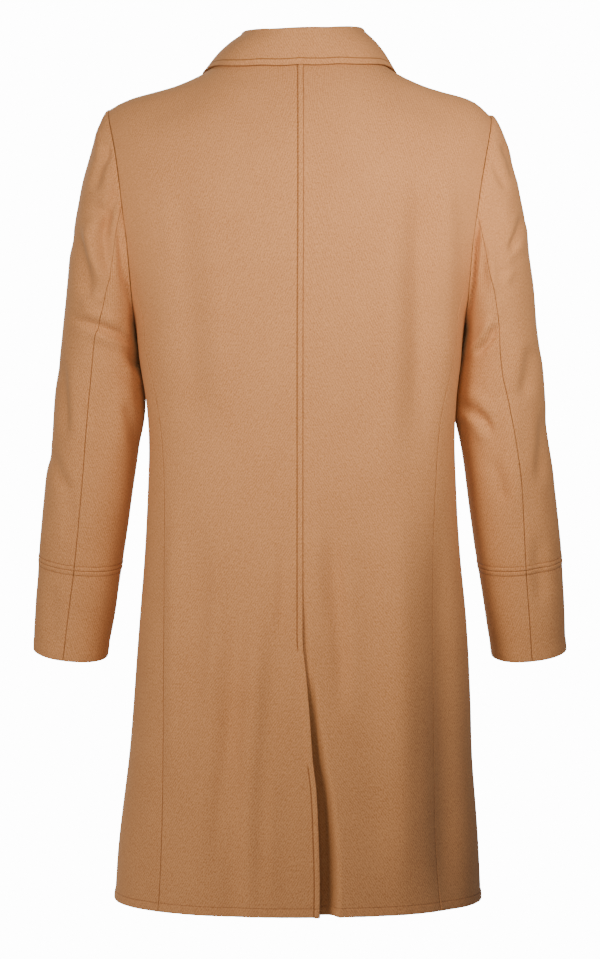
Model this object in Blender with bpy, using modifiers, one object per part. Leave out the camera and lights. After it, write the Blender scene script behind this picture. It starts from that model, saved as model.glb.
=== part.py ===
"""A knee-length wool overcoat, filled out as if worn, as the panels that a maker cuts and sews.

Metres, +Z up. The coat faces -Y and the wearer's left is +X. The origin is the middle of the
neck opening. Each panel is a wall of cloth on one shared form, worked out from the tables below.
"""

from collections import namedtuple
import functools
import math

import bmesh
import bpy
from mathutils import Vector
import numpy as np

# Cloth
wall = 0.0025
collar_wall = 0.0030
seam_gap = 0.0003
side_seam_trim = 0.0014   # the same gap's half, as an angle on the form

# Heights on the body form
hem_height = -1.001
low_top = -0.345          # below this the panels' rows are level
blade_height = -0.200     # fullest level of the upper back
chest_height = -0.240     # fullest level of the upper front
over_the_top = 0.9995     # from this share of the rise on, the form passes over the shoulder

# Neck and armhole
neck_half_width = 0.075
back_neck_height = -0.006
side_neck_height = 0.0115
front_neck_height = -0.070
back_neck_power = 2.2
front_neck_power = 2.5
shoulder_tip_x = 0.2265
armhole_top = {1: -0.057, -1: -0.0635}    # by side: the left shoulder is a little higher
armhole_bottom = -0.312
armhole_back_depth = 0.073
armhole_front_depth = 0.079
armhole_power = 1.05      # how pointed the armhole's oval is at its middle level
armhole_power_rise = 0.15
side_seam_turn = 120.0    # where the side seam meets the armhole, in degrees round from its top

# Back vent: the left panel's flap lies over the right panel's underlap
vent_top = -0.691
flap_width_at_hem = 0.0225
flap_ease = 0.72          # share of the easing curve that the flap's edge follows
underlap_width = 0.026
underlap_rise = 0.045     # height in which the underlap reaches its width
vent_dip_at_top = 0.0034
vent_dip_at_hem = 0.0130
vent_dip_span = 0.28      # height in which the underlap sinks
vent_dip_start = 0.075    # above the vent's top
vent_dip_in = 0.010       # the underlap comes back to the form between these, out from the flap
vent_dip_out = 0.030

# Front closing: left over right
front_overlap = 0.028
front_dip = 0.0034
front_dip_in = 0.034      # the right front comes back to the form between these, out from the middle
front_dip_out = 0.056

# Buttons
button_radius = 0.014
button_thickness = 0.0046
button_heights = (-0.135, -0.275, -0.415, -0.555)

# Columns and rows of the panels' walls
low_rows = 15
top_rows = 9
shoulder_columns = 4
arm_step = 20.0           # degrees between lines at the armhole, the same on body and sleeve
front_spread = 0.84       # under 1, the front's lines gather towards its middle
late_turn = 1.9           # powers of the way that a line turns to or from the armhole
early_turn = 0.75
close_rows_from = -0.26   # lines that end between these heights go over to close rows at their top
close_rows_full = -0.10
button_steps = 20
sleeve_columns = 9        # of each sleeve panel: with arm_step, its lines meet the body's
sleeve_rows = 17
cuff_rows = 3
collar_back_columns = 8
collar_front_columns = 7

# Levels of the body: half widths, half depths and the exponent of the section, 2 for an oval.
BodyRow = namedtuple("BodyRow", "height left right back front squareness")
body_rows = (
    BodyRow(-1.001, 0.2215, 0.2165, 0.1340, 0.1380, 2.20),
    BodyRow(-0.940, 0.2175, 0.2130, 0.1325, 0.1370, 2.28),
    BodyRow(-0.840, 0.2060, 0.2060, 0.1280, 0.1340, 2.40),
    BodyRow(-0.765, 0.1990, 0.2035, 0.1230, 0.1300, 2.50),
    BodyRow(-0.670, 0.1920, 0.1990, 0.1150, 0.1250, 2.60),
    BodyRow(-0.590, 0.1860, 0.1920, 0.1080, 0.1210, 2.60),
    BodyRow(-0.520, 0.1825, 0.1880, 0.1030, 0.1190, 2.60),
    BodyRow(-0.455, 0.1810, 0.1855, 0.1010, 0.1190, 2.60),
    BodyRow(-0.405, 0.1840, 0.1870, 0.1030, 0.1210, 2.60),
    BodyRow(-0.360, 0.1910, 0.1925, 0.1070, 0.1240, 2.60),
    BodyRow(-0.312, 0.1975, 0.1975, 0.1110, 0.1265, 2.60),
    BodyRow(-0.290, 0.2050, 0.2050, 0.1125, 0.1275, 2.60),
    BodyRow(-0.250, 0.2200, 0.2200, 0.1145, 0.1285, 2.60),
    BodyRow(-0.200, 0.2360, 0.2360, 0.1150, 0.1285, 2.60),
    BodyRow(-0.150, 0.2460, 0.2460, 0.1150, 0.1285, 2.60),
    BodyRow(-0.100, 0.2520, 0.2520, 0.1150, 0.1285, 2.60),
    BodyRow(0.040, 0.2620, 0.2620, 0.1150, 0.1285, 2.60),
)

ShoulderRow = namedtuple("ShoulderRow", "out left right")
shoulder_rows = (
    ShoulderRow(0.000, 0.0300, 0.0300),
    ShoulderRow(0.040, 0.0255, 0.0255),
    ShoulderRow(0.075, 0.0115, 0.0115),
    ShoulderRow(0.115, -0.0140, -0.0140),
    ShoulderRow(0.145, -0.0285, -0.0285),
    ShoulderRow(0.170, -0.0365, -0.0365),
    ShoulderRow(0.200, -0.0445, -0.0445),
    ShoulderRow(0.2135, -0.0500, -0.0515),
    ShoulderRow(0.2265, -0.0570, -0.0635),
    ShoulderRow(0.260, -0.0820, -0.0950),
)

SeamRow = namedtuple("SeamRow", "height out")
side_seam_rows = (
    SeamRow(-1.001, 0.1640),
    SeamRow(-0.940, 0.1610),
    SeamRow(-0.840, 0.1590),
    SeamRow(-0.600, 0.1585),
    SeamRow(-0.500, 0.1595),
    SeamRow(-0.430, 0.1650),
    SeamRow(-0.380, 0.1740),
    SeamRow(-0.345, 0.1830),
)

fold_fade = 0.10          # height in which a fold of the skirt comes and goes

# Soft folds of the skirt. side is +1 on the back and -1 on the front, a trough has a negative depth.
FoldRow = namedtuple("FoldRow", "side x width depth low high")
fold_rows = (
    FoldRow(1, 0.074, 0.016, -0.0045, -1.05, -0.70),
    FoldRow(1, 0.172, 0.013, 0.0035, -0.98, -0.58),
    FoldRow(1, -0.036, 0.018, -0.0035, -0.80, -0.55),
    FoldRow(1, -0.118, 0.026, -0.0050, -1.05, -0.76),
    FoldRow(1, 0.120, 0.030, 0.0030, -1.05, -0.74),
    FoldRow(-1, 0.110, 0.022, -0.0045, -1.05, -0.66),
    FoldRow(-1, -0.100, 0.020, -0.0040, -1.05, -0.70),
)

# Stations down a sleeve: its outer and inner edge, fore-and-aft middle and half depth, forward lean.
SleeveRow = namedtuple("SleeveRow", "outer_x outer_z inner_x inner_z middle_y half_depth lean")
sleeve_stations = (
    SleeveRow(0.2265, -0.0570, 0.1975, -0.3120, -0.003, 0.076, 0.0),
    SleeveRow(0.2325, -0.0600, 0.1985, -0.3145, -0.003, 0.077, 0.0),
    SleeveRow(0.2405, -0.0760, 0.1990, -0.3175, -0.003, 0.078, 0.0),
    SleeveRow(0.2500, -0.1050, 0.1992, -0.3210, -0.004, 0.079, 0.0),
    SleeveRow(0.2600, -0.1450, 0.1993, -0.3250, -0.004, 0.080, 0.0),
    SleeveRow(0.2695, -0.1900, 0.1986, -0.3300, -0.006, 0.080, 0.0),
    SleeveRow(0.2765, -0.2400, 0.1966, -0.3380, -0.011, 0.079, 0.0),
    SleeveRow(0.2835, -0.2950, 0.1950, -0.3510, -0.018, 0.078, 0.0),
    SleeveRow(0.2900, -0.3500, 0.1903, -0.3780, -0.025, 0.076, 1.0),
    SleeveRow(0.2965, -0.4050, 0.1868, -0.4150, -0.029, 0.072, 3.0),
    SleeveRow(0.3015, -0.4550, 0.1962, -0.4640, -0.031, 0.068, 5.0),
    SleeveRow(0.3085, -0.5050, 0.2030, -0.5150, -0.033, 0.065, 7.0),
    SleeveRow(0.3145, -0.5550, 0.2105, -0.5650, -0.037, 0.061, 9.0),
    SleeveRow(0.3190, -0.6050, 0.2180, -0.6150, -0.042, 0.057, 10.0),
    SleeveRow(0.3230, -0.6550, 0.2265, -0.6650, -0.048, 0.053, 10.0),
    SleeveRow(0.3255, -0.7060, 0.2350, -0.7160, -0.054, 0.050, 10.0),
)
cuff_seam_station = 12.8
armhole_blend_stations = 4.0
sleeve_roundness = 0.92
sleeve_radius = 0.055     # mean values, which turn the seam gap into degrees and stations
station_length = 0.050
front_seam_turn = 280.0   # the sleeve's seams, in degrees round from its outer edge

# The sleeve's back seam swings inwards below the armhole and comes back above the elbow.
BackSeamRow = namedtuple("BackSeamRow", "station turn")
back_seam_rows = (
    BackSeamRow(0.0, 90.0),
    BackSeamRow(1.5, 95.5),
    BackSeamRow(3.0, 101.5),
    BackSeamRow(4.5, 103.5),
    BackSeamRow(6.0, 98.0),
    BackSeamRow(7.0, 93.5),
    BackSeamRow(8.0, 88.5),
    BackSeamRow(9.0, 84.0),
    BackSeamRow(10.5, 84.0),
    BackSeamRow(12.5, 87.5),
    BackSeamRow(15.0, 88.0),
)

# Stations round the collar, from the middle of the back to its front end. The base is on the
# neckline, the fold is a point in space and the edge lies over the shoulder.
CollarRow = namedtuple("CollarRow", "base fold_x fold_y fold_z edge_x edge_turn lift")
collar_stations = (
    CollarRow(0.00, 0.0000, 0.0670, 0.0230, 0.0000, 53.2, 0.0042),
    CollarRow(0.40, 0.0300, 0.0610, 0.0250, 0.0420, 55.0, 0.0040),
    CollarRow(0.80, 0.0590, 0.0370, 0.0295, 0.0850, 65.3, 0.0038),
    CollarRow(1.00, 0.0712, 0.0000, 0.0325, 0.1120, 88.0, 0.0042),
    CollarRow(1.20, 0.0680, -0.0370, 0.0180, 0.1150, 112.0, 0.0046),
    CollarRow(1.45, 0.0510, -0.0720, -0.0120, 0.0960, 131.0, 0.0044),
    CollarRow(1.75, 0.0270, -0.0940, -0.0395, 0.0690, 143.0, 0.0040),
    CollarRow(1.97, 0.0060, -0.1010, -0.0500, 0.0400, 149.5, 0.0044),
)
collar_turn_tilt = 1.0    # degrees by which the edge lies higher on the wearer's right
fold_radius = 0.0032
collar_belly = 0.0035     # how far the collar's fall swells between fold and edge
collar_shift = 0.0035     # the fold sits towards the wearer's right, and higher there
collar_tilt = 0.030
collar_seat = 0.0004      # gap between the collar's stand and the neckline
front_seat = 0.0016       # the same, where the neckline curves most

wool_colour = (0.533, 0.309, 0.141, 1.0)
horn_colour = (0.060, 0.032, 0.018, 1.0)


def clear_scene():
    for thing in list(bpy.data.objects):
        bpy.data.objects.remove(thing, do_unlink=True)


def make_material(name, colour, roughness):
    material = bpy.data.materials.new(name)
    material.use_nodes = True
    shader = material.node_tree.nodes["Principled BSDF"]
    shader.inputs["Base Color"].default_value = colour
    shader.inputs["Roughness"].default_value = roughness
    shader.inputs["Metallic"].default_value = 0.0
    return material


def ease(amount):
    """0 to 1 with level ends."""
    amount = min(max(amount, 0.0), 1.0)
    return amount * amount * (3.0 - 2.0 * amount)


def smooth_value(places, values, place):
    """A smooth curve through the values, read at one place. The places rise."""
    place = min(max(place, places[0]), places[-1])
    last = len(places) - 1
    index = min(max(int(np.searchsorted(places, place)) - 1, 0), last - 1)

    def slope(knot):
        before = max(knot - 1, 0)
        after = min(knot + 1, last)
        return (values[after] - values[before]) / (places[after] - places[before])

    span = places[index + 1] - places[index]
    t = (place - places[index]) / span
    rise = values[index + 1] - values[index]
    start = slope(index) * span
    end = slope(index + 1) * span
    bend = 3.0 * rise - 2.0 * start - end
    twist = start + end - 2.0 * rise
    return values[index] + t * (start + t * (bend + t * twist))


def column(rows, name):
    return [getattr(row, name) for row in rows]


body_heights = column(body_rows, "height")
shoulder_outs = column(shoulder_rows, "out")
seam_heights = column(side_seam_rows, "height")
body_columns = {name: column(body_rows, name) for name in BodyRow._fields}
shoulder_columns_of = {1: column(shoulder_rows, "left"), -1: column(shoulder_rows, "right")}


def half_width(x, height):
    name = "left" if x >= 0.0 else "right"
    return smooth_value(body_heights, body_columns[name], height)


def shoulder_line(x):
    """The height of the form's top. x is signed: the two shoulders differ."""
    return smooth_value(shoulder_outs, shoulder_columns_of[1 if x >= 0.0 else -1], abs(x))


def roundness(height):
    return 2.0 / smooth_value(body_heights, body_columns["squareness"], height)


def folds(x, height, face):
    total = 0.0
    for fold in fold_rows:
        if fold.side != face:
            continue
        across = math.exp(-(((x - fold.x) / fold.width) ** 2))
        along = ease((height - fold.low) / fold_fade) * ease((fold.high - height) / fold_fade)
        total += fold.depth * across * along
    return total


def torso(side, angle, height):
    """A point of the coat's outer form. The angle is 0 at the middle of the back, rises towards
    the given side (+1 left, -1 right), and is pi at the middle of the front."""
    face = 1 if math.cos(angle) >= 0.0 else -1
    sine = math.sin(angle)
    own = math.copysign(abs(sine) ** roundness(height), sine)
    x = side * own * half_width(side * own, height)
    depth = smooth_value(body_heights, body_columns["back" if face > 0 else "front"], height)
    centre = blade_height if face > 0 else chest_height
    rise = min(max((height - centre) / (shoulder_line(x) - centre), 0.0), 1.0)
    round_off = math.sqrt(max(1.0 - rise * rise, 0.0))
    breadth = abs(math.cos(angle)) ** roundness(height)
    y = face * (depth * breadth * round_off + folds(x, height, face) * breadth ** 2)
    return np.array((x, y, height))


def torso_normal(side, angle, height):
    """The outward direction of the form, level with the shoulder line where it passes over."""
    here = torso(side, angle, height)
    x = here[0]
    centre = blade_height if math.cos(angle) >= 0.0 else chest_height
    if (height - centre) / (shoulder_line(x) - centre) > over_the_top:
        step = 0.002
        rise_along_x = (shoulder_line(x + step) - shoulder_line(x - step)) / (2.0 * step)
        normal = np.array((-rise_along_x, 0.0, 1.0))
        return normal / np.linalg.norm(normal)
    around = torso(side, angle + 0.004, height) - torso(side, angle - 0.004, height)
    up = here - torso(side, angle, height - 0.0008)
    normal = np.cross(up, around) * side
    return normal / np.linalg.norm(normal)


def angle_at(side, own_x, height, face):
    """The form's angle at a distance out from the middle, on the back (+1) or the front (-1)."""
    share = min(abs(own_x) / half_width(side * own_x, height), 1.0)
    base = math.copysign(math.asin(share ** (1.0 / roundness(height))), own_x)
    return base if face > 0 else math.pi - base


def over_shoulder(side, x, turn):
    """A point on the top of the form: turn is 0 at the back, 90 degrees on the shoulder line."""
    face = 1 if turn <= 90.0 else -1
    centre = blade_height if face > 0 else chest_height
    height = centre + (shoulder_line(side * x) - centre) * math.sin(math.radians(turn))
    angle = angle_at(side, x, height, face)
    return torso(side, angle, height), torso_normal(side, angle, height)


def back_neckline(x):
    rise = side_neck_height - back_neck_height
    return back_neck_height + rise * (abs(x) / neck_half_width) ** back_neck_power


def front_neckline(x):
    rise = side_neck_height - front_neck_height
    return front_neck_height + rise * (abs(x) / neck_half_width) ** front_neck_power


@functools.lru_cache(maxsize=None)
def armhole(side, turn):
    """The form's angle and height on the armhole: turn is 0 at its top, 90 at the back, 180 below."""
    middle = (armhole_top[side] + armhole_bottom) / 2.0
    half = (armhole_top[side] - armhole_bottom) / 2.0
    upward = math.cos(math.radians(turn))
    height = middle + half * upward
    face = 1 if turn <= 180.0 else -1
    depth = armhole_back_depth if face > 0 else armhole_front_depth
    depth *= abs(math.sin(math.radians(turn))) ** (armhole_power + armhole_power_rise * upward)
    near = 0.75 * shoulder_tip_x
    far = half_width(side, height)
    for _ in range(40):
        out = (near + far) / 2.0
        if abs(torso(side, angle_at(side, out, height, face), height)[1]) > max(depth, 1e-6):
            near = out
        else:
            far = out
    return angle_at(side, out, height, face), height


def side_seam_angle(side, height):
    out = smooth_value(seam_heights, column(side_seam_rows, "out"), height)
    return angle_at(side, out, height, 1)


def flap_width(height):
    down = (vent_top - height) / (vent_top - hem_height)
    return flap_width_at_hem * ease(down * flap_ease) / ease(flap_ease)


def back_edge(side, height):
    """How far a back panel reaches past the middle, as a distance out on its own side."""
    if side > 0:
        return -flap_width(height) + seam_gap / 2.0
    return seam_gap / 2.0 - underlap_width * ease((vent_top - height) / underlap_rise)


def back_lines(side, height):
    """Distances out of the first lines of a back panel."""
    flap = flap_width(height)
    return [back_edge(side, height), 0.010 + flap, 0.030 + flap]


front_lines = (0.060, 0.047, 0.033, 0.018, 0.003, -front_overlap)
back_neck_lines = (seam_gap / 2.0, 0.010, 0.030, 0.053)


def tuck(side, face, x, height):
    """How far a panel lies inside the form, where another panel laps over it."""
    if side > 0:
        return 0.0
    if face > 0:
        sink = ease((vent_top - height) / vent_dip_span)
        dip = vent_dip_at_top + (vent_dip_at_hem - vent_dip_at_top) * sink
        dip *= ease((vent_top + vent_dip_start - height) / vent_dip_start)
        out = -x - flap_width(height)
        return dip * (1.0 - ease((out - vent_dip_in) / (vent_dip_out - vent_dip_in)))
    return front_dip * (1.0 - ease((-x - front_dip_in) / (front_dip_out - front_dip_in)))


def line_angle(low, top, t):
    """A line that moves out towards the armhole turns late, and one that makes room for it early."""
    outward = abs(top - math.pi / 2.0) < abs(low - math.pi / 2.0)
    return low + (top - low) * t ** (late_turn if outward else early_turn)


def panel_lines(side, face, height):
    """The angles of all of a panel's lines at one level below the armholes."""
    seam = side_seam_angle(side, height)
    if face > 0:
        first = [angle_at(side, out, height, 1) for out in back_lines(side, height)]
        count = 2 + shoulder_columns + round(side_seam_turn / arm_step)
        inner = back_lines(side, height)[-1]
        seam_out = smooth_value(seam_heights, column(side_seam_rows, "out"), height)
        outs = [inner + (seam_out - inner) * step / count for step in range(1, count)]
        return first + [angle_at(side, out, height, 1) for out in outs] + [seam - side_seam_trim]
    last = [angle_at(side, out, height, -1) for out in front_lines]
    count = round((360.0 - side_seam_turn) / arm_step) + shoulder_columns + 1
    start = seam + side_seam_trim
    spread = [start + (last[0] - start) * (step / count) ** front_spread for step in range(count)]
    return spread + last


def armhole_turns(face):
    """Where a panel's lines meet the armhole, from the shoulder tip to the side seam."""
    start, end = (0.0, side_seam_turn) if face > 0 else (360.0, side_seam_turn)
    count = round(abs(end - start) / arm_step)
    return [start + (end - start) * step / count for step in range(count + 1)]


def panel_tops(side, face):
    """The angle, height and nearness to the shoulder line where each of a panel's lines ends."""
    tops = []
    if face > 0:
        for out in back_neck_lines:
            tops.append((angle_at(side, out, back_neckline(out), 1), back_neckline(out)))
    else:
        for out in reversed(front_lines):
            tops.append((angle_at(side, out, front_neckline(out), -1), front_neckline(out)))
    for step in range(shoulder_columns + 1):
        out = neck_half_width + (shoulder_tip_x - neck_half_width) * step / shoulder_columns
        height = shoulder_line(side * out)
        tops.append((angle_at(side, out, height, face), height))
    tops += [armhole(side, turn) for turn in armhole_turns(face)[1:]]
    seam, height = tops[-1]
    tops[-1] = (seam - face * side_seam_trim, height)
    return tops if face > 0 else tops[::-1]


def panel_grid(side, face):
    """Rows of (angle, height) from the hem to the top edge of a panel."""
    grid = []
    for row in range(low_rows + 1):
        height = hem_height + (low_top - hem_height) * row / low_rows
        grid.append([(angle, height) for angle in panel_lines(side, face, height)])
    low_line = grid[-1]
    tops = panel_tops(side, face)
    for row in range(1, top_rows + 1):
        t = row / top_rows
        points = []
        for (low_angle, low_height), (top_angle, top_height) in zip(low_line, tops, strict=True):
            near = ease((top_height - close_rows_from) / (close_rows_full - close_rows_from))
            up = (1.0 - near) * t + near * math.sin(t * math.pi / 2.0)
            height = low_height + (top_height - low_height) * up
            points.append((line_angle(low_angle, top_angle, t), height))
        grid.append(points)
    return grid


def seam_direction(side, turn):
    """Which way the sleeve leaves the armhole."""
    step = sleeve(side, 0.08, turn) - sleeve(side, 0.0, turn)
    return step / np.linalg.norm(step)


def body_panel(name, side, face, material):
    grid = panel_grid(side, face)
    outer = []
    inward = []
    for line in grid:
        points = []
        ways = []
        for angle, height in line:
            point = torso(side, angle, height)
            normal = torso_normal(side, angle, height)
            point[1] -= face_of(angle) * tuck(side, face, point[0], height)
            points.append(point)
            ways.append(-normal)
        outer.append(points)
        inward.append(ways)
    first = len(back_neck_lines if face > 0 else front_lines)
    top = outer[-1] if face > 0 else outer[-1][::-1]
    for point in top[first:first + shoulder_columns + 1]:
        point[1] += face * seam_gap / 2.0
    return shell(name, np.array(outer), np.array(inward), wall, material)


def face_of(angle):
    return 1 if math.cos(angle) >= 0.0 else -1


def station(name, place):
    rows = range(len(sleeve_stations))
    return smooth_value(list(rows), column(sleeve_stations, name), place)


def sleeve_section(side, place, turn):
    """A point on the plain oval of the sleeve, before it is fitted to the armhole."""
    outer = np.array((station("outer_x", place), 0.0, station("outer_z", place)))
    inner = np.array((station("inner_x", place), 0.0, station("inner_z", place)))
    lean = math.radians(station("lean", place))
    back = np.array((0.0, math.cos(lean), -math.sin(lean))) * station("half_depth", place)
    cosine = math.cos(math.radians(turn))
    sine = math.sin(math.radians(turn))
    along = math.copysign(abs(cosine) ** sleeve_roundness, cosine)
    across = math.copysign(abs(sine) ** sleeve_roundness, sine)
    point = (outer + inner) / 2.0 + (outer - inner) / 2.0 * along + back * across
    point[1] += station("middle_y", place)
    point[0] *= side
    return point


def sleeve(side, place, turn):
    """A point of the sleeve. Place counts stations down from the armhole; turn is 0 at the outer
    edge, 90 degrees at the back and 180 at the inner edge."""
    turn = turn % 360.0
    point = sleeve_section(side, place, turn)
    blend = 1.0 - ease(place / armhole_blend_stations)
    if blend > 0.0:
        angle, height = armhole(side, turn)
        point = point + (torso(side, angle, height) - sleeve_section(side, 0.0, turn)) * blend
    return point


def sleeve_normal(side, place, turn):
    ahead = min(place + 0.05, len(sleeve_stations) - 1.0)
    behind = max(place - 0.05, 0.0)
    down = sleeve(side, ahead, turn) - sleeve(side, behind, turn)
    around = sleeve(side, place, turn + 1.5) - sleeve(side, place, turn - 1.5)
    normal = np.cross(down, around) * side
    return normal / np.linalg.norm(normal)


def sleeve_turns(upper, place):
    """The turns of a panel's first and last line: its two seams."""
    back_seam = smooth_value(column(back_seam_rows, "station"), column(back_seam_rows, "turn"), place)
    return (front_seam_turn - 360.0, back_seam) if upper else (back_seam, front_seam_turn)


def sleeve_panel(name, side, upper, first, last, rows, material):
    """The upper or under panel of a sleeve between two stations."""
    trim = math.degrees(seam_gap / 2.0 / sleeve_radius)
    outer = []
    inward = []
    for row in range(rows + 1):
        place = first + (last - first) * row / rows
        start, end = sleeve_turns(upper, place)
        points = []
        ways = []
        for index in range(sleeve_columns + 1):
            turn = start + (end - start) * index / sleeve_columns
            turn = min(max(turn, start + trim), end - trim)
            point = sleeve(side, place, turn)
            if place == 0.0:
                point = point + seam_direction(side, turn) * seam_gap
            points.append(point)
            ways.append(-sleeve_normal(side, place, turn))
        outer.append(points)
        inward.append(ways)
    return shell(name, np.array(outer), np.array(inward), wall, material)


def collar_value(name, place):
    """A smooth value of the collar's table, carried on past the middle as its other half has it."""
    sign = -1.0 if name in ("fold_x", "edge_x") else 1.0
    places = column(collar_stations, "base")
    values = column(collar_stations, name)
    return smooth_value([-places[1]] + places, [sign * values[1]] + values, place)


def collar_line(side, place):
    """The middle line of the collar's folded cloth at one place round the neck."""
    if place <= 1.0:
        out = neck_half_width * math.sin(place * math.pi / 2.0)
        base_height = back_neckline(out)
        face = 1
    else:
        out = neck_half_width * math.sin((2.0 - place) * math.pi / 2.0)
        base_height = front_neckline(out)
        face = -1
    base = torso(side, angle_at(side, out, base_height, face), base_height)
    read = {name: collar_value(name, place) for name in CollarRow._fields}
    read["edge_turn"] -= side * collar_turn_tilt * min(place, 1.0)
    fold = np.array((side * read["fold_x"] - collar_shift, read["fold_y"], read["fold_z"]))
    fold[2] -= collar_tilt * fold[0]
    edge, normal = over_shoulder(side, read["edge_x"], read["edge_turn"])
    edge = edge + normal * read["lift"]
    out_way = edge - fold
    out_way[2] = 0.0
    out_way /= np.linalg.norm(out_way)
    up = np.array((0.0, 0.0, 1.0))
    seat = collar_seat + (front_seat - collar_seat) * ease((place - 0.9) / 0.3)
    base = base + up * (seat + collar_wall * 0.35)
    line = [base, base * 0.5 + (fold - out_way * fold_radius) * 0.5]
    for turn in (180.0, 135.0, 90.0, 45.0, 0.0):
        radians = math.radians(turn)
        line.append(fold + out_way * fold_radius * math.cos(radians) + up * fold_radius * math.sin(radians))
    shoulder = line[-1]
    for share in (0.3, 0.6, 1.0):
        belly = collar_belly * math.sin(share * math.pi)
        line.append(shoulder + (edge - shoulder) * share + (out_way * 0.6 + up * 0.8) * belly)
    return np.array(line)


def collar_panel(name, material):
    reach = collar_stations[-1].base - 1.0
    half = [step / collar_back_columns for step in range(collar_back_columns + 1)]
    half += [1.0 + reach * step / collar_front_columns for step in range(1, collar_front_columns + 1)]
    right = [collar_line(-1, place) for place in reversed(half[1:])]
    middle = np.array(right + [collar_line(1, place) for place in half])
    across = np.gradient(middle, axis=1)
    along = np.gradient(middle, axis=0)
    normal = np.cross(across, along)
    normal /= np.linalg.norm(normal, axis=2, keepdims=True)
    outer = middle + normal * collar_wall / 2.0
    return shell(name, outer, -normal, collar_wall, material)


def shell(name, outer, inward, thickness, material):
    """A wall of cloth from the rows of points on its outer side."""
    rows, columns = outer.shape[:2]
    inner = outer + inward * thickness
    mesh = bmesh.new()
    layers = []
    for points in (outer, inner):
        layers.append([[mesh.verts.new(point) for point in line] for line in points])
    for row in range(rows - 1):
        for index in range(columns - 1):
            for layer in layers:
                mesh.faces.new((
                    layer[row][index],
                    layer[row][index + 1],
                    layer[row + 1][index + 1],
                    layer[row + 1][index],
                ))
    rim = [(0, index) for index in range(columns)]
    rim += [(row, columns - 1) for row in range(1, rows)]
    rim += [(rows - 1, index) for index in range(columns - 2, -1, -1)]
    rim += [(row, 0) for row in range(rows - 2, 0, -1)]
    for here, there in zip(rim, rim[1:] + rim[:1]):
        mesh.faces.new((
            layers[0][here[0]][here[1]],
            layers[0][there[0]][there[1]],
            layers[1][there[0]][there[1]],
            layers[1][here[0]][here[1]],
        ))
    bmesh.ops.recalc_face_normals(mesh, faces=mesh.faces)
    data = bpy.data.meshes.new(name)
    mesh.to_mesh(data)
    mesh.free()
    return place_object(name, data, material)


def place_object(name, data, material):
    data.materials.append(material)
    data.shade_smooth()
    data.set_sharp_from_angle(angle=math.radians(40.0))
    thing = bpy.data.objects.new(name, data)
    coat.objects.link(thing)
    return thing


def button(name, height, material):
    """A turned button with a raised rim, lying on the slope of the left front."""
    profile = (
        (0.0, 0.68),
        (0.62, 0.68),
        (0.74, 1.00),
        (0.88, 1.00),
        (1.00, 0.66),
        (1.00, 0.38),
        (0.80, 0.00),
        (0.0, 0.0),
    )
    data = bpy.data.meshes.new(name)
    points = [(out * button_radius, 0.0, up * button_thickness) for out, up in profile]
    edges = [(index, index + 1) for index in range(len(points) - 1)]
    data.from_pydata(points, edges, [])
    thing = place_object(name, data, material)
    screw = thing.modifiers.new("turned", "SCREW")
    screw.steps = button_steps
    screw.render_steps = button_steps
    screw.use_merge_vertices = True
    screw.merge_threshold = 0.00001
    normal = Vector(torso_normal(1, math.pi, height))
    thing.location = Vector(torso(1, math.pi, height)) + normal * seam_gap
    thing.rotation_euler = normal.to_track_quat("Z", "Y").to_euler()
    return thing


def build_body(wool):
    body_panel("back_left", 1, 1, wool)
    body_panel("back_right", -1, 1, wool)
    body_panel("front_left", 1, -1, wool)
    body_panel("front_right", -1, -1, wool)


def build_sleeves(wool):
    end = len(sleeve_stations) - 1.0
    cuff_trim = seam_gap / 2.0 / station_length
    for word, side in (("left", 1), ("right", -1)):
        for piece in ("upper", "under"):
            upper = piece == "upper"
            sleeve_end = cuff_seam_station - cuff_trim
            cuff_start = cuff_seam_station + cuff_trim
            sleeve_panel(f"sleeve_{piece}_{word}", side, upper, 0.0, sleeve_end, sleeve_rows, wool)
            sleeve_panel(f"cuff_{piece}_{word}", side, upper, cuff_start, end, cuff_rows, wool)


def build_buttons(horn):
    for index, height in enumerate(button_heights):
        button(f"button_{index + 1}", height, horn)


clear_scene()
coat = bpy.data.collections.new("officer_coat")
bpy.context.scene.collection.children.link(coat)
camel_wool = make_material("camel_wool", wool_colour, 0.95)
brown_horn = make_material("brown_horn", horn_colour, 0.35)
build_body(camel_wool)
build_sleeves(camel_wool)
collar_panel("collar", camel_wool)
build_buttons(brown_horn)
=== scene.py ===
import math

import bmesh
import bpy
import numpy as np
from mathutils import Matrix, Vector, noise


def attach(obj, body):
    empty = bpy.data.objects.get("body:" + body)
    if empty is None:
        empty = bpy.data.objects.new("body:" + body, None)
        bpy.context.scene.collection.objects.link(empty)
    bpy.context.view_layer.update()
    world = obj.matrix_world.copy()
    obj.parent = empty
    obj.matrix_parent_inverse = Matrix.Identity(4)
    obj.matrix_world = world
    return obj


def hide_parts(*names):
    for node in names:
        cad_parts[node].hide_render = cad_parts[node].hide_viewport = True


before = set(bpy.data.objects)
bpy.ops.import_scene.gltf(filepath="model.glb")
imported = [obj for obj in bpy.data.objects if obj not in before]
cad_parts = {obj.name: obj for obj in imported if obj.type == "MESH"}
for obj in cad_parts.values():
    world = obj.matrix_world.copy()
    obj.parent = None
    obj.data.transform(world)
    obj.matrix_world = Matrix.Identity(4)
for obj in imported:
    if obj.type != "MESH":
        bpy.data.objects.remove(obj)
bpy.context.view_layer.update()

# A knee-length camel overcoat seen from behind, filled out and hollow. Metres, the back is at +Y
# and the wearer's left is +X. Every cut piece is a wall of cloth laid over the solids' own form.

print("stage: measures")

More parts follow.
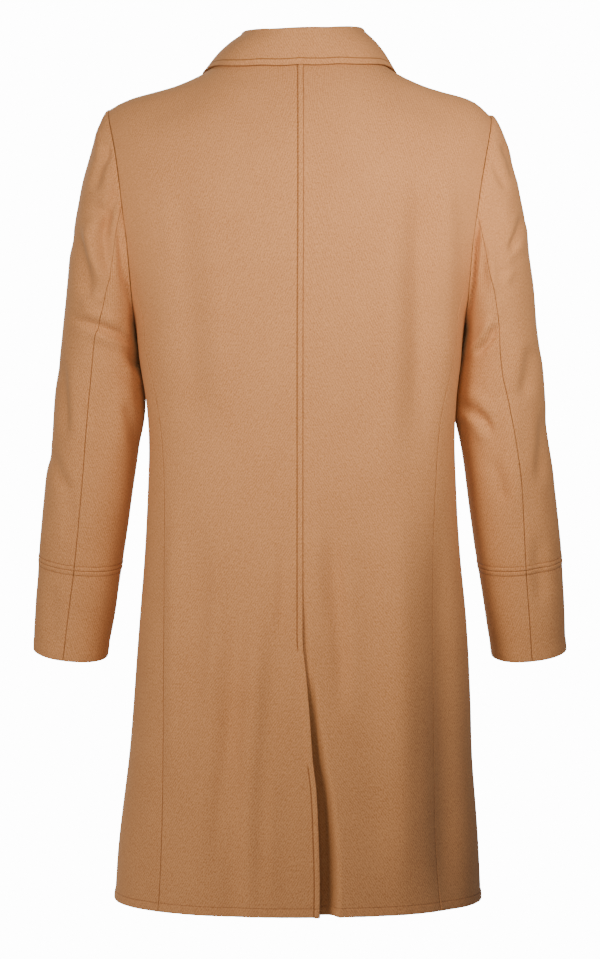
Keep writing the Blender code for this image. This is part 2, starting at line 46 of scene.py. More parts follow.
# The form that the solids share.
bodyForm = {
    "hemHeight": -1.001,
    "lowTop": -0.345,         # rows are level below this
    "bladeHeight": -0.200,
    "chestHeight": -0.240,
    "neckHalf": 0.075,
    "backNeck": -0.006,
    "sideNeck": 0.0115,
    "frontNeck": -0.070,
    "backNeckPower": 2.2,
    "frontNeckPower": 2.5,
    "tipX": 0.2265,
    "armTopLeft": -0.057,
    "armTopRight": -0.0635,
    "armBottom": -0.312,
    "armBackDepth": 0.073,
    "armFrontDepth": 0.079,
    "armPower": 1.05,
    "armPowerRise": 0.15,
    "seamTurn": 120.0,
    "armSearchFrom": 0.75,    # share of the way out to the shoulder's tip
    "armHalvings": 40,
    "ventTop": -0.691,
}

bodyRows = {
    "height": (-1.001, -0.940, -0.840, -0.765, -0.670, -0.590, -0.520, -0.455, -0.405,
               -0.360, -0.312, -0.290, -0.250, -0.200, -0.150, -0.100, 0.040),
    "left": (0.2215, 0.2175, 0.2060, 0.1990, 0.1920, 0.1860, 0.1825, 0.1810, 0.1840,
             0.1910, 0.1975, 0.2050, 0.2200, 0.2360, 0.2460, 0.2520, 0.2620),
    "right": (0.2165, 0.2130, 0.2060, 0.2035, 0.1990, 0.1920, 0.1880, 0.1855, 0.1870,
              0.1925, 0.1975, 0.2050, 0.2200, 0.2360, 0.2460, 0.2520, 0.2620),
    "back": (0.1340, 0.1325, 0.1280, 0.1230, 0.1150, 0.1080, 0.1030, 0.1010, 0.1030,
             0.1070, 0.1110, 0.1125, 0.1145, 0.1150, 0.1150, 0.1150, 0.1150),
    "front": (0.1380, 0.1370, 0.1340, 0.1300, 0.1250, 0.1210, 0.1190, 0.1190, 0.1210,
              0.1240, 0.1265, 0.1275, 0.1285, 0.1285, 0.1285, 0.1285, 0.1285),
    "squareness": (2.20, 2.28, 2.40, 2.50, 2.60, 2.60, 2.60, 2.60, 2.60,
                   2.60, 2.60, 2.60, 2.60, 2.60, 2.60, 2.60, 2.60),
}

shoulderRows = {
    "out": (0.000, 0.040, 0.075, 0.115, 0.145, 0.170, 0.200, 0.2135, 0.2265, 0.260),
    "left": (0.0300, 0.0255, 0.0115, -0.0140, -0.0285, -0.0365, -0.0445, -0.0500, -0.0570, -0.0820),
    "right": (0.0300, 0.0255, 0.0115, -0.0140, -0.0285, -0.0365, -0.0445, -0.0515, -0.0635, -0.0950),
}

sideSeamRows = {
    "height": (-1.001, -0.940, -0.840, -0.600, -0.500, -0.430, -0.380, -0.345),
    "out": (0.1640, 0.1610, 0.1590, 0.1585, 0.1595, 0.1650, 0.1740, 0.1830),
}

# Soft folds of the skirt, hanging straight: face is +1 on the back, a trough is negative.
skirtFolds = {
    "face": (1, 1, 1, 1, 1, -1, -1),
    "x": (0.074, 0.172, -0.036, -0.118, 0.120, 0.110, -0.100),
    "width": (0.016, 0.013, 0.018, 0.026, 0.030, 0.022, 0.020),
    "depth": (-0.0045, 0.0035, -0.0035, -0.0050, 0.0030, -0.0045, -0.0040),
    "low": (-1.05, -0.98, -0.80, -1.05, -1.05, -1.05, -1.05),
    "high": (-0.70, -0.58, -0.55, -0.76, -0.74, -0.66, -0.70),
    "fade": 0.10,
}


def ease(amount):
    amount = np.clip(amount, 0.0, 1.0)
    return amount * amount * (3.0 - 2.0 * amount)


def smoothValue(places, values, place):
    # a smooth curve through the values; the places rise
    places = np.asarray(places, float)
    values = np.asarray(values, float)
    place = np.clip(place, places[0], places[-1])
    index = np.clip(np.searchsorted(places, place) - 1, 0, len(places) - 2)
    run = np.append(places[1:], places[-1]) - np.insert(places[:-1], 0, places[0])
    slopes = (np.append(values[1:], values[-1]) - np.insert(values[:-1], 0, values[0])) / run
    span = places[index + 1] - places[index]
    t = (place - places[index]) / span
    rise = values[index + 1] - values[index]
    start = slopes[index] * span
    end = slopes[index + 1] * span
    bend = 3.0 * rise - 2.0 * start - end
    return values[index] + t * (start + t * (bend + t * (start + end - 2.0 * rise)))


def bodyValue(name, height):
    return smoothValue(bodyRows["height"], bodyRows[name], height)


def halfWidth(x, height):
    return np.where(x >= 0.0, bodyValue("left", height), bodyValue("right", height))


def shoulderLine(x):
    # x is signed: the right shoulder falls a little further
    left = smoothValue(shoulderRows["out"], shoulderRows["left"], np.abs(x))
    right = smoothValue(shoulderRows["out"], shoulderRows["right"], np.abs(x))
    return np.where(np.asarray(x) >= 0.0, left, right)


def roundness(height):
    return 2.0 / bodyValue("squareness", height)


def skirtFold(x, height, face):
    total = np.zeros_like(x)
    names = ("face", "x", "width", "depth", "low", "high")
    for foldFace, foldX, width, depth, low, high in zip(*(skirtFolds[name] for name in names)):
        across = np.exp(-(((x - foldX) / width) ** 2))
        fade = skirtFolds["fade"]
        along = ease((height - low) / fade) * ease((high - height) / fade)
        total += np.where(face == foldFace, depth * across * along, 0.0)
    return total


def faceOf(angle):
    return np.where(np.cos(angle) >= 0.0, 1.0, -1.0)


def torso(side, angle, height):
    # angle is 0 at the middle of the back, pi at the middle of the front, towards the given side
    angle, height = np.broadcast_arrays(np.asarray(angle, float), np.asarray(height, float))
    face = faceOf(angle)
    own = np.copysign(np.abs(np.sin(angle)) ** roundness(height), np.sin(angle))
    x = side * own * halfWidth(side * own, height)
    depth = np.where(face > 0.0, bodyValue("back", height), bodyValue("front", height))
    centre = np.where(face > 0.0, bodyForm["bladeHeight"], bodyForm["chestHeight"])
    rise = np.clip((height - centre) / (shoulderLine(x) - centre), 0.0, 1.0)
    breadth = np.abs(np.cos(angle)) ** roundness(height)
    fold = skirtFold(x, height, face) * breadth ** 2
    y = face * (depth * breadth * np.sqrt(1.0 - rise ** 2) + fold)
    return np.stack((x, y, height), axis=-1)


def angleAt(side, ownX, height, face):
    # the form's angle at a distance out from the middle
    share = np.minimum(np.abs(ownX) / halfWidth(side * np.asarray(ownX), height), 1.0)
    base = np.copysign(np.arcsin(share ** (1.0 / roundness(height))), ownX)
    return base if face > 0 else np.pi - base


def neckline(x, face):
    low = bodyForm["backNeck"] if face > 0 else bodyForm["frontNeck"]
    power = bodyForm["backNeckPower"] if face > 0 else bodyForm["frontNeckPower"]
    return low + (bodyForm["sideNeck"] - low) * (np.abs(x) / bodyForm["neckHalf"]) ** power


def armhole(side, turn):
    # angle and height on the armhole: turn is 0 at its top, 90 at the back, 180 below
    turn = np.asarray(turn, float)
    radians = np.radians(turn)
    top = bodyForm["armTopLeft" if side > 0 else "armTopRight"]
    middle = (top + bodyForm["armBottom"]) / 2.0
    half = (top - bodyForm["armBottom"]) / 2.0
    height = middle + half * np.cos(radians)
    face = np.where(turn % 360.0 <= 180.0, 1.0, -1.0)
    depth = np.where(face > 0.0, bodyForm["armBackDepth"], bodyForm["armFrontDepth"])
    power = bodyForm["armPower"] + bodyForm["armPowerRise"] * np.cos(radians)
    depth = np.maximum(depth * np.abs(np.sin(radians)) ** power, 1e-6)
    near = np.full(turn.shape, bodyForm["armSearchFrom"] * bodyForm["tipX"])
    far = halfWidth(side * np.ones_like(turn), height)
    # halving finds where the form is as deep as the armhole
    for _ in range(bodyForm["armHalvings"]):
        out = (near + far) / 2.0
        base = angleAt(side, out, height, 1)
        angle = np.where(face > 0.0, base, np.pi - base)
        inside = np.abs(torso(side, angle, height)[..., 1]) > depth
        near = np.where(inside, out, near)
        far = np.where(inside, far, out)
    return angle, height


cloth = {
    "wall": 0.0023,
    "collarWall": 0.0020,
    "overlap": 0.00015,       # neighbours pass this far through each other, so no slit shows
    "rimTurns": (45.0, 90.0, 135.0),    # degrees round a piece's edge, from its face to its inside
    "lineClear": 1.2,         # columns from this many times an edge's last line on stay as they are
}

# What the sewing does to the cloth beside each kind of edge, by distance in from the edge. "lines"
# are where the grid has columns, "roll" and "raised" shape the edge, "stitch" is where the thread
# runs and "pull" how deep it draws the cloth in. "puff" is the rise between the two, "pucker" its
# unevenness, "bulge" how round the cut edge is, and "plain" a length along it without stitches.
edgeDefaults = {
    "roll": 0.0006, "raised": 0.0, "stitch": None, "pull": 0.0, "puff": 0.0, "bulge": 1.0,
    "pucker": 0.0, "plain": None,
}

edgeKinds = {
    "plainSeam": {
        "lines": (0.0, 0.0003, 0.0007, 0.0012, 0.0019, 0.003),
        "roll": 0.0012, "bulge": 0.0, "pucker": 0.00012,
    },
    "lappedSeam": {
        "lines": (0.0, 0.0004, 0.001, 0.002, 0.0046, 0.0056, 0.0061, 0.0066, 0.0071, 0.0076, 0.0086, 0.0105),
        "roll": 0.0007, "raised": 0.0013, "stitch": 0.0066, "pull": 0.0010, "puff": 0.0002,
        "bulge": 0.6, "pucker": 0.00015, "plain": (0.172, 0.306),
    },
    "underlap": {"lines": (0.0, 0.0015, 0.003), "roll": 0.0},
    "hem": {
        "lines": (0.0, 0.0006, 0.0016, 0.003, 0.006, 0.0088, 0.0096, 0.0101, 0.0106, 0.0114, 0.013, 0.016),
        "raised": 0.0006, "stitch": 0.0101, "pull": 0.00032, "puff": 0.0004, "pucker": 0.0002,
    },
    "frontEdge": {
        "lines": (0.0, 0.0006, 0.0014, 0.0028, 0.0052, 0.0061, 0.0066, 0.0071, 0.008, 0.010),
        "raised": 0.0004, "stitch": 0.0066, "pull": 0.00045, "puff": 0.0004, "pucker": 0.00015,
    },
    "cuffSeam": {
        "lines": (0.0, 0.0003, 0.0007, 0.0012, 0.002, 0.0042, 0.0051, 0.0056, 0.0061, 0.007, 0.009),
        "roll": 0.0009, "raised": 0.0002, "stitch": 0.0056, "pull": 0.0004, "puff": 0.0004,
        "bulge": 0.0, "pucker": 0.00015,
    },
    "fold": {"lines": (0.0, 0.0005, 0.0012, 0.0025, 0.005), "raised": 0.0006},
    "collarEdge": {
        "lines": (0.0, 0.0005, 0.0012, 0.0024, 0.005, 0.0062, 0.0067, 0.0072, 0.0077, 0.0082, 0.0094, 0.012),
        "raised": 0.0003, "stitch": 0.0072, "pull": 0.0009, "puff": 0.0006, "pucker": 0.0002,
    },
}
edgeKinds = {name: {**edgeDefaults, **kind} for name, kind in edgeKinds.items()}

stitching = {
    "halfWidth": 0.00075,
    "plainReach": 0.012,      # a raised edge without stitches is this wide
    "raisedEnd": 1.25,        # the raised strip ends at this share of its width
    "raisedRun": 0.35,
    "plainRun": 0.004,        # the groove fades in and out over this length
    "puckerReach": 0.011,     # puckers die out over this distance from the edge
    "puckerWave": 0.0023,
    "puckerDrift": 0.019,
    "puckerSlow": 0.0061,
    "puckerSlowShare": 0.6,
    "puckerPhase": 1.7,
}


def turned(grid, edge):
    # brings the named edge of a grid to its first column
    if edge in ("low", "high"):
        grid = np.swapaxes(grid, 0, 1)
    if edge in ("last", "high"):
        grid = grid[:, ::-1]
    return grid


def turnedBack(grid, edge):
    if edge in ("last", "high"):
        grid = grid[:, ::-1]
    if edge in ("low", "high"):
        grid = np.swapaxes(grid, 0, 1)
    return grid


def lengthsAlong(grid):
    # distance along each row from its first point
    steps = np.linalg.norm(np.diff(grid, axis=1), axis=2)
    return np.concatenate((np.zeros((len(grid), 1)), np.cumsum(steps, axis=1)), axis=1)


def withLines(grid, edge, distances):
    # adds columns at set distances in from an edge, and spreads the next ones evenly
    grid = turned(grid, edge)
    lengths = lengthsAlong(grid)
    clear = np.min(lengths, axis=0) > distances[-1] * cloth["lineClear"]
    keep = int(np.argmax(clear))
    fill = max(keep - 1, 1)
    rows = []
    for line, along in zip(grid, lengths):
        between = np.linspace(distances[-1], along[keep], fill + 2)[1:-1]
        places = np.concatenate((distances, between, along[keep:]))
        rows.append(np.stack([np.interp(places, along, line[:, axis]) for axis in range(3)], axis=-1))
    return turnedBack(np.array(rows), edge)


def gridNormals(grid, sign):
    normals = np.cross(np.gradient(grid, axis=0), np.gradient(grid, axis=1)) * sign
    return normals / np.maximum(np.linalg.norm(normals, axis=2, keepdims=True), 1e-12)


def pressed(distance, along, kind):
    # height of the cloth over its plain surface beside an edge of this kind, and how deep its grooves are
    inside = np.clip(kind["roll"] - distance, 0.0, kind["roll"])
    groove = kind["roll"] - np.sqrt(np.maximum(kind["roll"] ** 2 - inside ** 2, 0.0))
    reach = kind["stitch"] or stitching["plainReach"]
    raisedShare = (reach * stitching["raisedEnd"] - distance) / (reach * stitching["raisedRun"])
    height = kind["raised"] * ease(raisedShare)
    if kind["stitch"]:
        share = np.clip(distance / kind["stitch"], 0.0, 1.0)
        height += kind["puff"] * np.sin(share * np.pi)
        sewn = 1.0
        if kind["plain"]:
            start, end = kind["plain"]
            run = stitching["plainRun"]
            sewn = 1.0 - ease((along - start) / run) * ease((end - along) / run)
        pull = np.exp(-(((distance - kind["stitch"]) / stitching["halfWidth"]) ** 2))
        groove += kind["pull"] * pull * sewn
    wave = np.sin(along / stitching["puckerWave"] + 2.0 * np.sin(along / stitching["puckerDrift"]))
    slow = np.sin(along / stitching["puckerSlow"] + stitching["puckerPhase"])
    wave = wave + stitching["puckerSlowShare"] * slow
    height += kind["pucker"] * wave * np.exp(-((distance / stitching["puckerReach"]) ** 2))
    return height - groove, groove


def dressEdges(grid, edges, side):
    # grid with lines beside its edges, its outward normals, its height and its grooves beside them
    for edge, kind in edges.items():
        grid = withLines(grid, edge, edgeKinds[kind]["lines"])
    height = np.zeros(grid.shape[:2])
    groove = np.zeros(grid.shape[:2])
    for edge, kind in edges.items():
        own = turned(grid, edge)
        along = lengthsAlong(np.swapaxes(own, 0, 1)).T[:, :1]
        raised, sunk = pressed(lengthsAlong(own), along, edgeKinds[kind])
        height += turnedBack(raised, edge)
        groove += turnedBack(sunk, edge)
    return grid, gridNormals(grid, side), height, groove


def flatMap(grid, level):
    # where each point lies on the flat cloth, in metres: out from the middle column, up from the level edge
    across = lengthsAlong(grid)
    across = across - across[:, across.shape[1] // 2][:, None]
    return np.stack((across, turnedBack(lengthsAlong(turned(grid, level)), level)), axis=-1)


def borderOf(rows, columns):
    rim = [(0, index) for index in range(columns)]
    rim += [(row, columns - 1) for row in range(1, rows)]
    rim += [(rows - 1, index) for index in range(columns - 2, -1, -1)]
    rim += [(row, 0) for row in range(rows - 2, 0, -1)]
    return rim


def addObject(name, data):
    thing = bpy.data.objects.new(name, data)
    bpy.context.scene.collection.objects.link(thing)
    return thing


def declare(piece, slot, *nodes):
    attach(piece, "root")
    if nodes:
        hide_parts(*nodes)


def rimPoints(outer, inner, rim, bulges):
    # the rounded edge between the two faces of a wall, a few points for each point of its border
    rows, columns = outer.shape[:2]
    turns = [math.radians(turn) for turn in cloth["rimTurns"]]
    points = []
    for row, column in rim:
        inRow = min(max(row, 1), rows - 2)
        inColumn = min(max(column, 1), columns - 2)
        away = outer[row, column] - outer[inRow, inColumn]
        away = away / max(np.linalg.norm(away), 1e-9)
        middle = (outer[row, column] + inner[row, column]) / 2.0
        half = (outer[row, column] - inner[row, column]) / 2.0
        edge = "low" if row == 0 else "high" if row == rows - 1 else "first" if column == 0 else "last"
        size = np.linalg.norm(half) * bulges[edge]
        points += [middle + half * math.cos(turn) + away * size * math.sin(turn) for turn in turns]
    return np.array(points)


def clothMesh(name, outer, inner, flat, groove, bulges):
    # a closed wall of cloth with rounded edges, from its outer and inner points
    rows, columns = outer.shape[:2]
    count = rows * columns
    numbers = np.arange(count).reshape(rows, columns)
    quads = np.stack((numbers[:-1, :-1], numbers[:-1, 1:], numbers[1:, 1:], numbers[1:, :-1]), axis=-1)
    faces = quads.reshape(-1, 4).tolist() + (quads + count)[..., ::-1].reshape(-1, 4).tolist()
    rim = borderOf(rows, columns)
    border = [numbers[place] for place in rim]
    between = len(cloth["rimTurns"])
    strips = []
    for index, number in enumerate(border):
        start = 2 * count + index * between
        strips.append([number, *range(start, start + between), number + count])
    for here, there in zip(strips, strips[1:] + strips[:1]):
        for step in range(between + 1):
            faces.append((here[step], there[step], there[step + 1], here[step + 1]))
    points = (outer.reshape(-1, 3), inner.reshape(-1, 3), rimPoints(outer, inner, rim, bulges))
    source = np.concatenate((numbers.ravel(), numbers.ravel(), np.repeat(border, between)))
    mesh = bpy.data.meshes.new(name)
    mesh.from_pydata(np.concatenate(points).tolist(), [], faces)
    builder = bmesh.new()
    builder.from_mesh(mesh)
    bmesh.ops.recalc_face_normals(builder, faces=builder.faces)
    builder.to_mesh(mesh)
    builder.free()
    corners = np.empty(len(mesh.loops), np.int64)
    mesh.loops.foreach_get("vertex_index", corners)
    layer = mesh.uv_layers.new(name="flatCloth")
    layer.data.foreach_set("uv", flat.reshape(-1, 2)[source[corners]].astype(np.float32).ravel())
    # the grooves' depth, kept for the painted shade in them
    shade = mesh.attributes.new("groove", "FLOAT", "POINT")
    shade.data.foreach_set("value", groove.ravel()[source].astype(np.float32))
    mesh.shade_smooth()
    return mesh


# The outer points and normals of each cut piece, for the stitches.
seams = {}


def sewPiece(cut, word, grid, edges, side, relief, level="low", shade=None, wall=cloth["wall"]):
    name = f"{cut}_{word}" if word else cut
    grid, normals, height, groove = dressEdges(grid, edges, side)
    if shade:
        groove = np.maximum(groove, shade(grid))
    body = grid + normals * relief(grid)[..., None]
    outer = body + normals * height[..., None]
    for edge, kind in edges.items():
        if edgeKinds[kind]["bulge"] == 0.0:
            own = turned(outer, edge)
            away = own[:, 0] - own[:, 1]
            away = away / np.maximum(np.linalg.norm(away, axis=1, keepdims=True), 1e-9)
            own[:, 0] += away * cloth["overlap"]
    bulges = {edge: edgeKinds[kind]["bulge"] for edge, kind in edges.items()}
    mesh = clothMesh(f"{name}_cloth", outer, body - normals * wall, flatMap(grid, level), groove, bulges)
    mesh.materials.append(wool)
    piece = addObject(f"{name}_cloth", mesh)
    declare(piece, "wool", name)
    seams[name] = (outer, normals)


def fromPolyline(u, v, points):
    # distance to a line of points and the share of the way along it
    best = np.full(u.shape, 1e9)
    share = np.zeros(u.shape)
    steps = [math.dist(a, b) for a, b in zip(points, points[1:])]
    total = sum(steps)
    done = 0.0
    for (u0, v0), (u1, v1), step in zip(points, points[1:], steps):
        t = np.clip(((u - u0) * (u1 - u0) + (v - v0) * (v1 - v0)) / step ** 2, 0.0, 1.0)
        away = np.hypot(u - u0 - t * (u1 - u0), v - v0 - t * (v1 - v0))
        nearer = away < best
        best = np.where(nearer, away, best)
        share = np.where(nearer, (done + t * step) / total, share)
        done += step
    return best, share


folds = {
    "shoulder": 0.35,         # how far the cloth stands up beside a crease, as a share of its depth
    "shoulderWidth": 2.4,
    "fadeShare": 0.3,         # a crease fades over this share of its length at each end
    "bodyNoise": 3.7,         # where the unevenness is read from
    "sleeveNoise": 9.1,
}


def creaseHeight(u, v, creases):
    # each crease is a width, a height and its points, in millimetres
    total = np.zeros(u.shape)
    for width, height, *points in creases:
        width = width / 1000.0
        away, share = fromPolyline(u, v, [(x / 1000.0, z / 1000.0) for x, z in points])
        beside = folds["shoulder"] * np.exp(-((away / (folds["shoulderWidth"] * width)) ** 2))
        ends = ease(share / folds["fadeShare"]) * ease((1.0 - share) / folds["fadeShare"])
        total += height / 1000.0 * (np.exp(-((away / width) ** 2)) - beside) * ends
    return total


def unevenness(grid, size, offset):
    places = (grid.reshape(-1, 3) / size + offset).tolist()
    return np.array([noise.noise(place) for place in places]).reshape(grid.shape[:2])


# Each row is a width, a height and the (x, height) points that the fold runs through, in
# millimetres. Troughs are negative. The back is as seen from behind; the hidden front has folds of
# the same kind.
bodyCreases = {
    "back": (
        (16, -6, (-138, -110), (-140, -230), (-140, -370), (-142, -480)),
        (18, 4.4, (-104, -150), (-103, -300), (-104, -420), (-106, -520)),
        (24, 7.8, (-110, -480), (-113, -680), (-115, -850), (-117, -1060)),
        (22, -8.4, (-166, -480), (-170, -620), (-173, -800), (-174, -1060)),
        (13, 2.6, (-168, -110), (-172, -200), (-174, -300), (-170, -440)),
        (19, -3.2, (146, -120), (136, -220), (129, -330), (120, -470)),
        (17, 1.6, (104, -150), (98, -280), (90, -400), (82, -500)),
        (7, 1.2, (154, -150), (153, -200), (151, -260)),
        (22, -1, (10, -400), (50, -440), (90, -452)),
        (22, -1, (-20, -430), (-60, -452), (-100, -450)),
        (5, -1.2, (92, -26), (74, -33), (52, -34)),
        (18, -1.8, (105, -40), (145, -62), (190, -78)),
        (18, -1.8, (-105, -40), (-145, -62), (-195, -86)),
        (12, -1.2, (-25, -100), (-50, -130), (-85, -165)),
        (12, -1.2, (40, -90), (70, -120), (100, -150)),
        (12, 3, (148, -480), (148, -640), (147, -780), (146, -920)),
        (12, -2.2, (118, -540), (118, -640), (122, -720), (128, -820)),
        (10, 2.2, (92, -540), (94, -620), (98, -700), (108, -800)),
        (12, -2.6, (69, -600), (74, -700), (80, -770), (92, -860), (104, -1000)),
        (14, 5, (47, -620), (50, -710), (56, -800), (61, -900), (60, -1040)),
        (7, -2.6, (20, -560), (19, -620), (24, -690)),
        (10, -4, (-34, -530), (-42, -620), (-47, -700), (-48, -790)),
        (8, 1.8, (-16, -560), (-19, -620), (-22, -670)),
        (10, 1.8, (30, -800), (32, -880), (34, -1020)),
    ),
    "front": (
        (15, -3, (188, -320), (150, -350), (110, -390)),
        (15, -3, (-188, -320), (-150, -350), (-112, -385)),
        (18, -2.8, (120, -130), (124, -220), (118, -330)),
        (18, -2.8, (-122, -130), (-126, -220), (-118, -320)),
        (22, -2, (150, -430), (100, -470), (50, -490)),
        (22, -2, (-150, -430), (-100, -470), (-55, -488)),
        (22, 3, (62, -620), (68, -760), (72, -960)),
        (22, 2.6, (-70, -640), (-76, -760), (-78, -960)),
        (18, -3.6, (112, -600), (116, -760), (120, -1020)),
        (16, -3.2, (-108, -620), (-112, -760), (-114, -1020)),
    ),
    "strength": 1.5,
    "uneven": 0.0008,
    "unevenSize": 0.10,
    "faceRun": 0.050,         # over this depth the back's folds give way to the front's,
    "faceShift": 0.3,         # of which the back keeps this share at the middle
    "calmWidth": 0.030,       # the front edges lie flat for the buttons
    "calmRun": 0.040,
    "calmTop": 0.012,         # and the neck lies flat under the collar
}


def bodyRelief(face):
    def relief(grid):
        x, y, z = np.moveaxis(grid, -1, 0)
        back = ease(y / bodyCreases["faceRun"] + bodyCreases["faceShift"])
        height = creaseHeight(x, z, bodyCreases["back"]) * back
        height += creaseHeight(x, z, bodyCreases["front"]) * (1.0 - back)
        height *= bodyCreases["strength"]
        height += bodyCreases["uneven"] * unevenness(grid, bodyCreases["unevenSize"], folds["bodyNoise"])
        if face < 0:
            height *= ease((np.abs(x) - bodyCreases["calmWidth"]) / bodyCreases["calmRun"])
        return height * ease((bodyCreases["calmTop"] - z) / bodyCreases["calmRun"])

    return relief


bodyCut = {
    "fine": 5,                # columns for each column of the solid
    "lowRows": 150,
    "topRows": 60,
    "backFirst": (0.010, 0.030),
    "backNeckOuts": (0.010, 0.030, 0.053),
    "frontOuts": (0.060, 0.047, 0.033, 0.018, 0.003, -0.028),
    "shoulderColumns": 4,
    "armStep": 20.0,
    "frontSpread": 0.84,
    "lateTurn": 1.9,
    "earlyTurn": 0.75,
    "closeFrom": -0.26,       # between these heights the rows close up towards the shoulder
    "closeFull": -0.10,
    "rightEdge": 0.003,       # the right back starts this far over the middle, under the lap
    "lapSink": 0.0006,        # and lies this much lower there
    "lapSinkIn": 0.002,
    "lapSinkRun": 0.006,
    "underlapWidth": 0.026,
    "underlapRise": 0.045,
    "frontDip": 0.0034,
    "frontDipIn": 0.034,
    "frontDipOut": 0.056,
}

# The edge of the left back: it laps over the seam, then runs out as the vent's flap.
flapEdge = {
    "height": (-1.001, -0.960, -0.917, -0.858, -0.823, -0.776, -0.7275, -0.691, -0.660, 0.0),
    "out": (0.0225, 0.0228, 0.0217, 0.0190, 0.0149, 0.0115, 0.0074, 0.0036, 0.0032, 0.0034),
}

# Behind the flap the right back sinks in, as wide as the shadow beside the flap.
ventDip = {
    "atTop": 0.0034,
    "atHem": 0.0175,
    "span": 0.24,
    "start": 0.075,
    "edgeRun": 0.0036,
    "edgeShare": 0.4,         # a deeper hollow has a wider edge
    "shade": 0.00060,         # painted shadow: the cloth in the hollow is darkened as much as a groove this deep
    "shadeStart": 0.010,      # from this far below the vent's top
    "shadeRun": 0.060,
    "height": (-1.001, -0.930, -0.880, -0.800, -0.735, -0.690, -0.640),
    "width": (0.0170, 0.0165, 0.0145, 0.0100, 0.0072, 0.0050, 0.0040),
}


def refined(values, times):
    values = np.asarray(values, float)
    places = np.linspace(0.0, len(values) - 1.0, (len(values) - 1) * times + 1)
    return np.interp(places, np.arange(len(values)), values)


def flapOut(height):
    return smoothValue(flapEdge["height"], flapEdge["out"], height)


def backEdge(side, height):
    if side > 0:
        return -flapOut(height)
    rise = ease((bodyForm["ventTop"] - height) / bodyCut["underlapRise"])
    return bodyCut["rightEdge"] - (bodyCut["underlapWidth"] + bodyCut["rightEdge"]) * rise


def ventHollow(x, height):
    # depth of the right back behind the flap, and 1 within the hollow to 0 beside it
    sink = ease((bodyForm["ventTop"] - height) / ventDip["span"])
    dip = ventDip["atTop"] + (ventDip["atHem"] - ventDip["atTop"]) * sink
    dip = dip * ease((bodyForm["ventTop"] + ventDip["start"] - height) / ventDip["start"])
    width = smoothValue(ventDip["height"], ventDip["width"], height)
    run = ventDip["edgeRun"] + ventDip["edgeShare"] * dip
    within = 1.0 - ease((-x - flapOut(height) - width + run / 2.0) / run)
    return dip * within, within


def ventShade(grid):
    # painted shadow in the vent's hollow behind the flap, given as a groove depth
    x, _, height = np.moveaxis(grid, -1, 0)
    below = ease((bodyForm["ventTop"] - ventDip["shadeStart"] - height) / ventDip["shadeRun"])
    return ventDip["shade"] * ventHollow(x, height)[1] * below


def tuck(side, face, x, height):
    if side > 0:
        return 0.0
    if face > 0:
        out = ease((-x - bodyCut["lapSinkIn"]) / bodyCut["lapSinkRun"])
        return ventHollow(x, height)[0] + bodyCut["lapSink"] * (1.0 - out)
    near, far = bodyCut["frontDipIn"], bodyCut["frontDipOut"]
    return bodyCut["frontDip"] * (1.0 - ease((-x - near) / (far - near)))


def panelAngles(side, face, height):
    seamOut = float(smoothValue(sideSeamRows["height"], sideSeamRows["out"], height))
    seam = float(angleAt(side, seamOut, height, 1))
    turns = bodyForm["seamTurn"] / bodyCut["armStep"]
    if face > 0:
        flap = max(float(flapOut(height)) - flapEdge["out"][-1], 0.0)
        first = [float(backEdge(side, height))] + [out + flap for out in bodyCut["backFirst"]]
        count = 2 + bodyCut["shoulderColumns"] + round(turns)
        outs = first + [first[-1] + (seamOut - first[-1]) * step / count for step in range(1, count + 1)]
        return angleAt(side, refined(outs, bodyCut["fine"]), height, 1)
    last = [float(angleAt(side, out, height, -1)) for out in bodyCut["frontOuts"]]
    count = round(360.0 / bodyCut["armStep"] - turns) + bodyCut["shoulderColumns"] + 1
    spread = [seam + (last[0] - seam) * (step / count) ** bodyCut["frontSpread"] for step in range(count)]
    return refined(spread + last, bodyCut["fine"])


def panelTops(side, face):
    fine = bodyCut["fine"]
    neckHalf = bodyForm["neckHalf"]
    if face > 0:
        outs = [float(backEdge(side, 0.0)), *bodyCut["backNeckOuts"], neckHalf]
    else:
        outs = [*reversed(bodyCut["frontOuts"]), neckHalf]
    neckOuts = refined(outs, fine)[:-1]
    shoulderOuts = np.linspace(neckHalf, bodyForm["tipX"], bodyCut["shoulderColumns"] * fine + 1)
    heights = np.concatenate((neckline(neckOuts, face), shoulderLine(side * shoulderOuts)))
    angles = angleAt(side, np.concatenate((neckOuts, shoulderOuts)), heights, face)
    start = 0.0 if face > 0 else 360.0
    count = round(abs(bodyForm["seamTurn"] - start) / bodyCut["armStep"]) * fine
    armAngles, armHeights = armhole(side, np.linspace(start, bodyForm["seamTurn"], count + 1)[1:])
    angles = np.concatenate((angles, armAngles))
    heights = np.concatenate((heights, armHeights))
    return (angles, heights) if face > 0 else (angles[::-1], heights[::-1])


def panelGrid(side, face):
    lowTop = bodyForm["lowTop"]
    levels = np.linspace(bodyForm["hemHeight"], lowTop, bodyCut["lowRows"] + 1)
    lowAngles = np.array([panelAngles(side, face, height) for height in levels])
    lowHeights = np.repeat(levels[:, None], lowAngles.shape[1], axis=1)
    topAngles, topHeights = panelTops(side, face)
    t = np.arange(1, bodyCut["topRows"] + 1)[:, None] / bodyCut["topRows"]
    near = ease((topHeights - bodyCut["closeFrom"]) / (bodyCut["closeFull"] - bodyCut["closeFrom"]))
    up = (1.0 - near) * t + near * np.sin(t * np.pi / 2.0)
    lowLine = lowAngles[-1]
    outward = np.abs(topAngles - np.pi / 2.0) < np.abs(lowLine - np.pi / 2.0)
    power = np.where(outward, bodyCut["lateTurn"], bodyCut["earlyTurn"])
    angles = np.concatenate((lowAngles, lowLine + (topAngles - lowLine) * t ** power))
    heights = np.concatenate((lowHeights, lowTop + (topHeights - lowTop) * up))
    grid = torso(side, angles, heights)
    grid[..., 1] -= faceOf(angles) * tuck(side, face, grid[..., 0], grid[..., 2])
    return grid


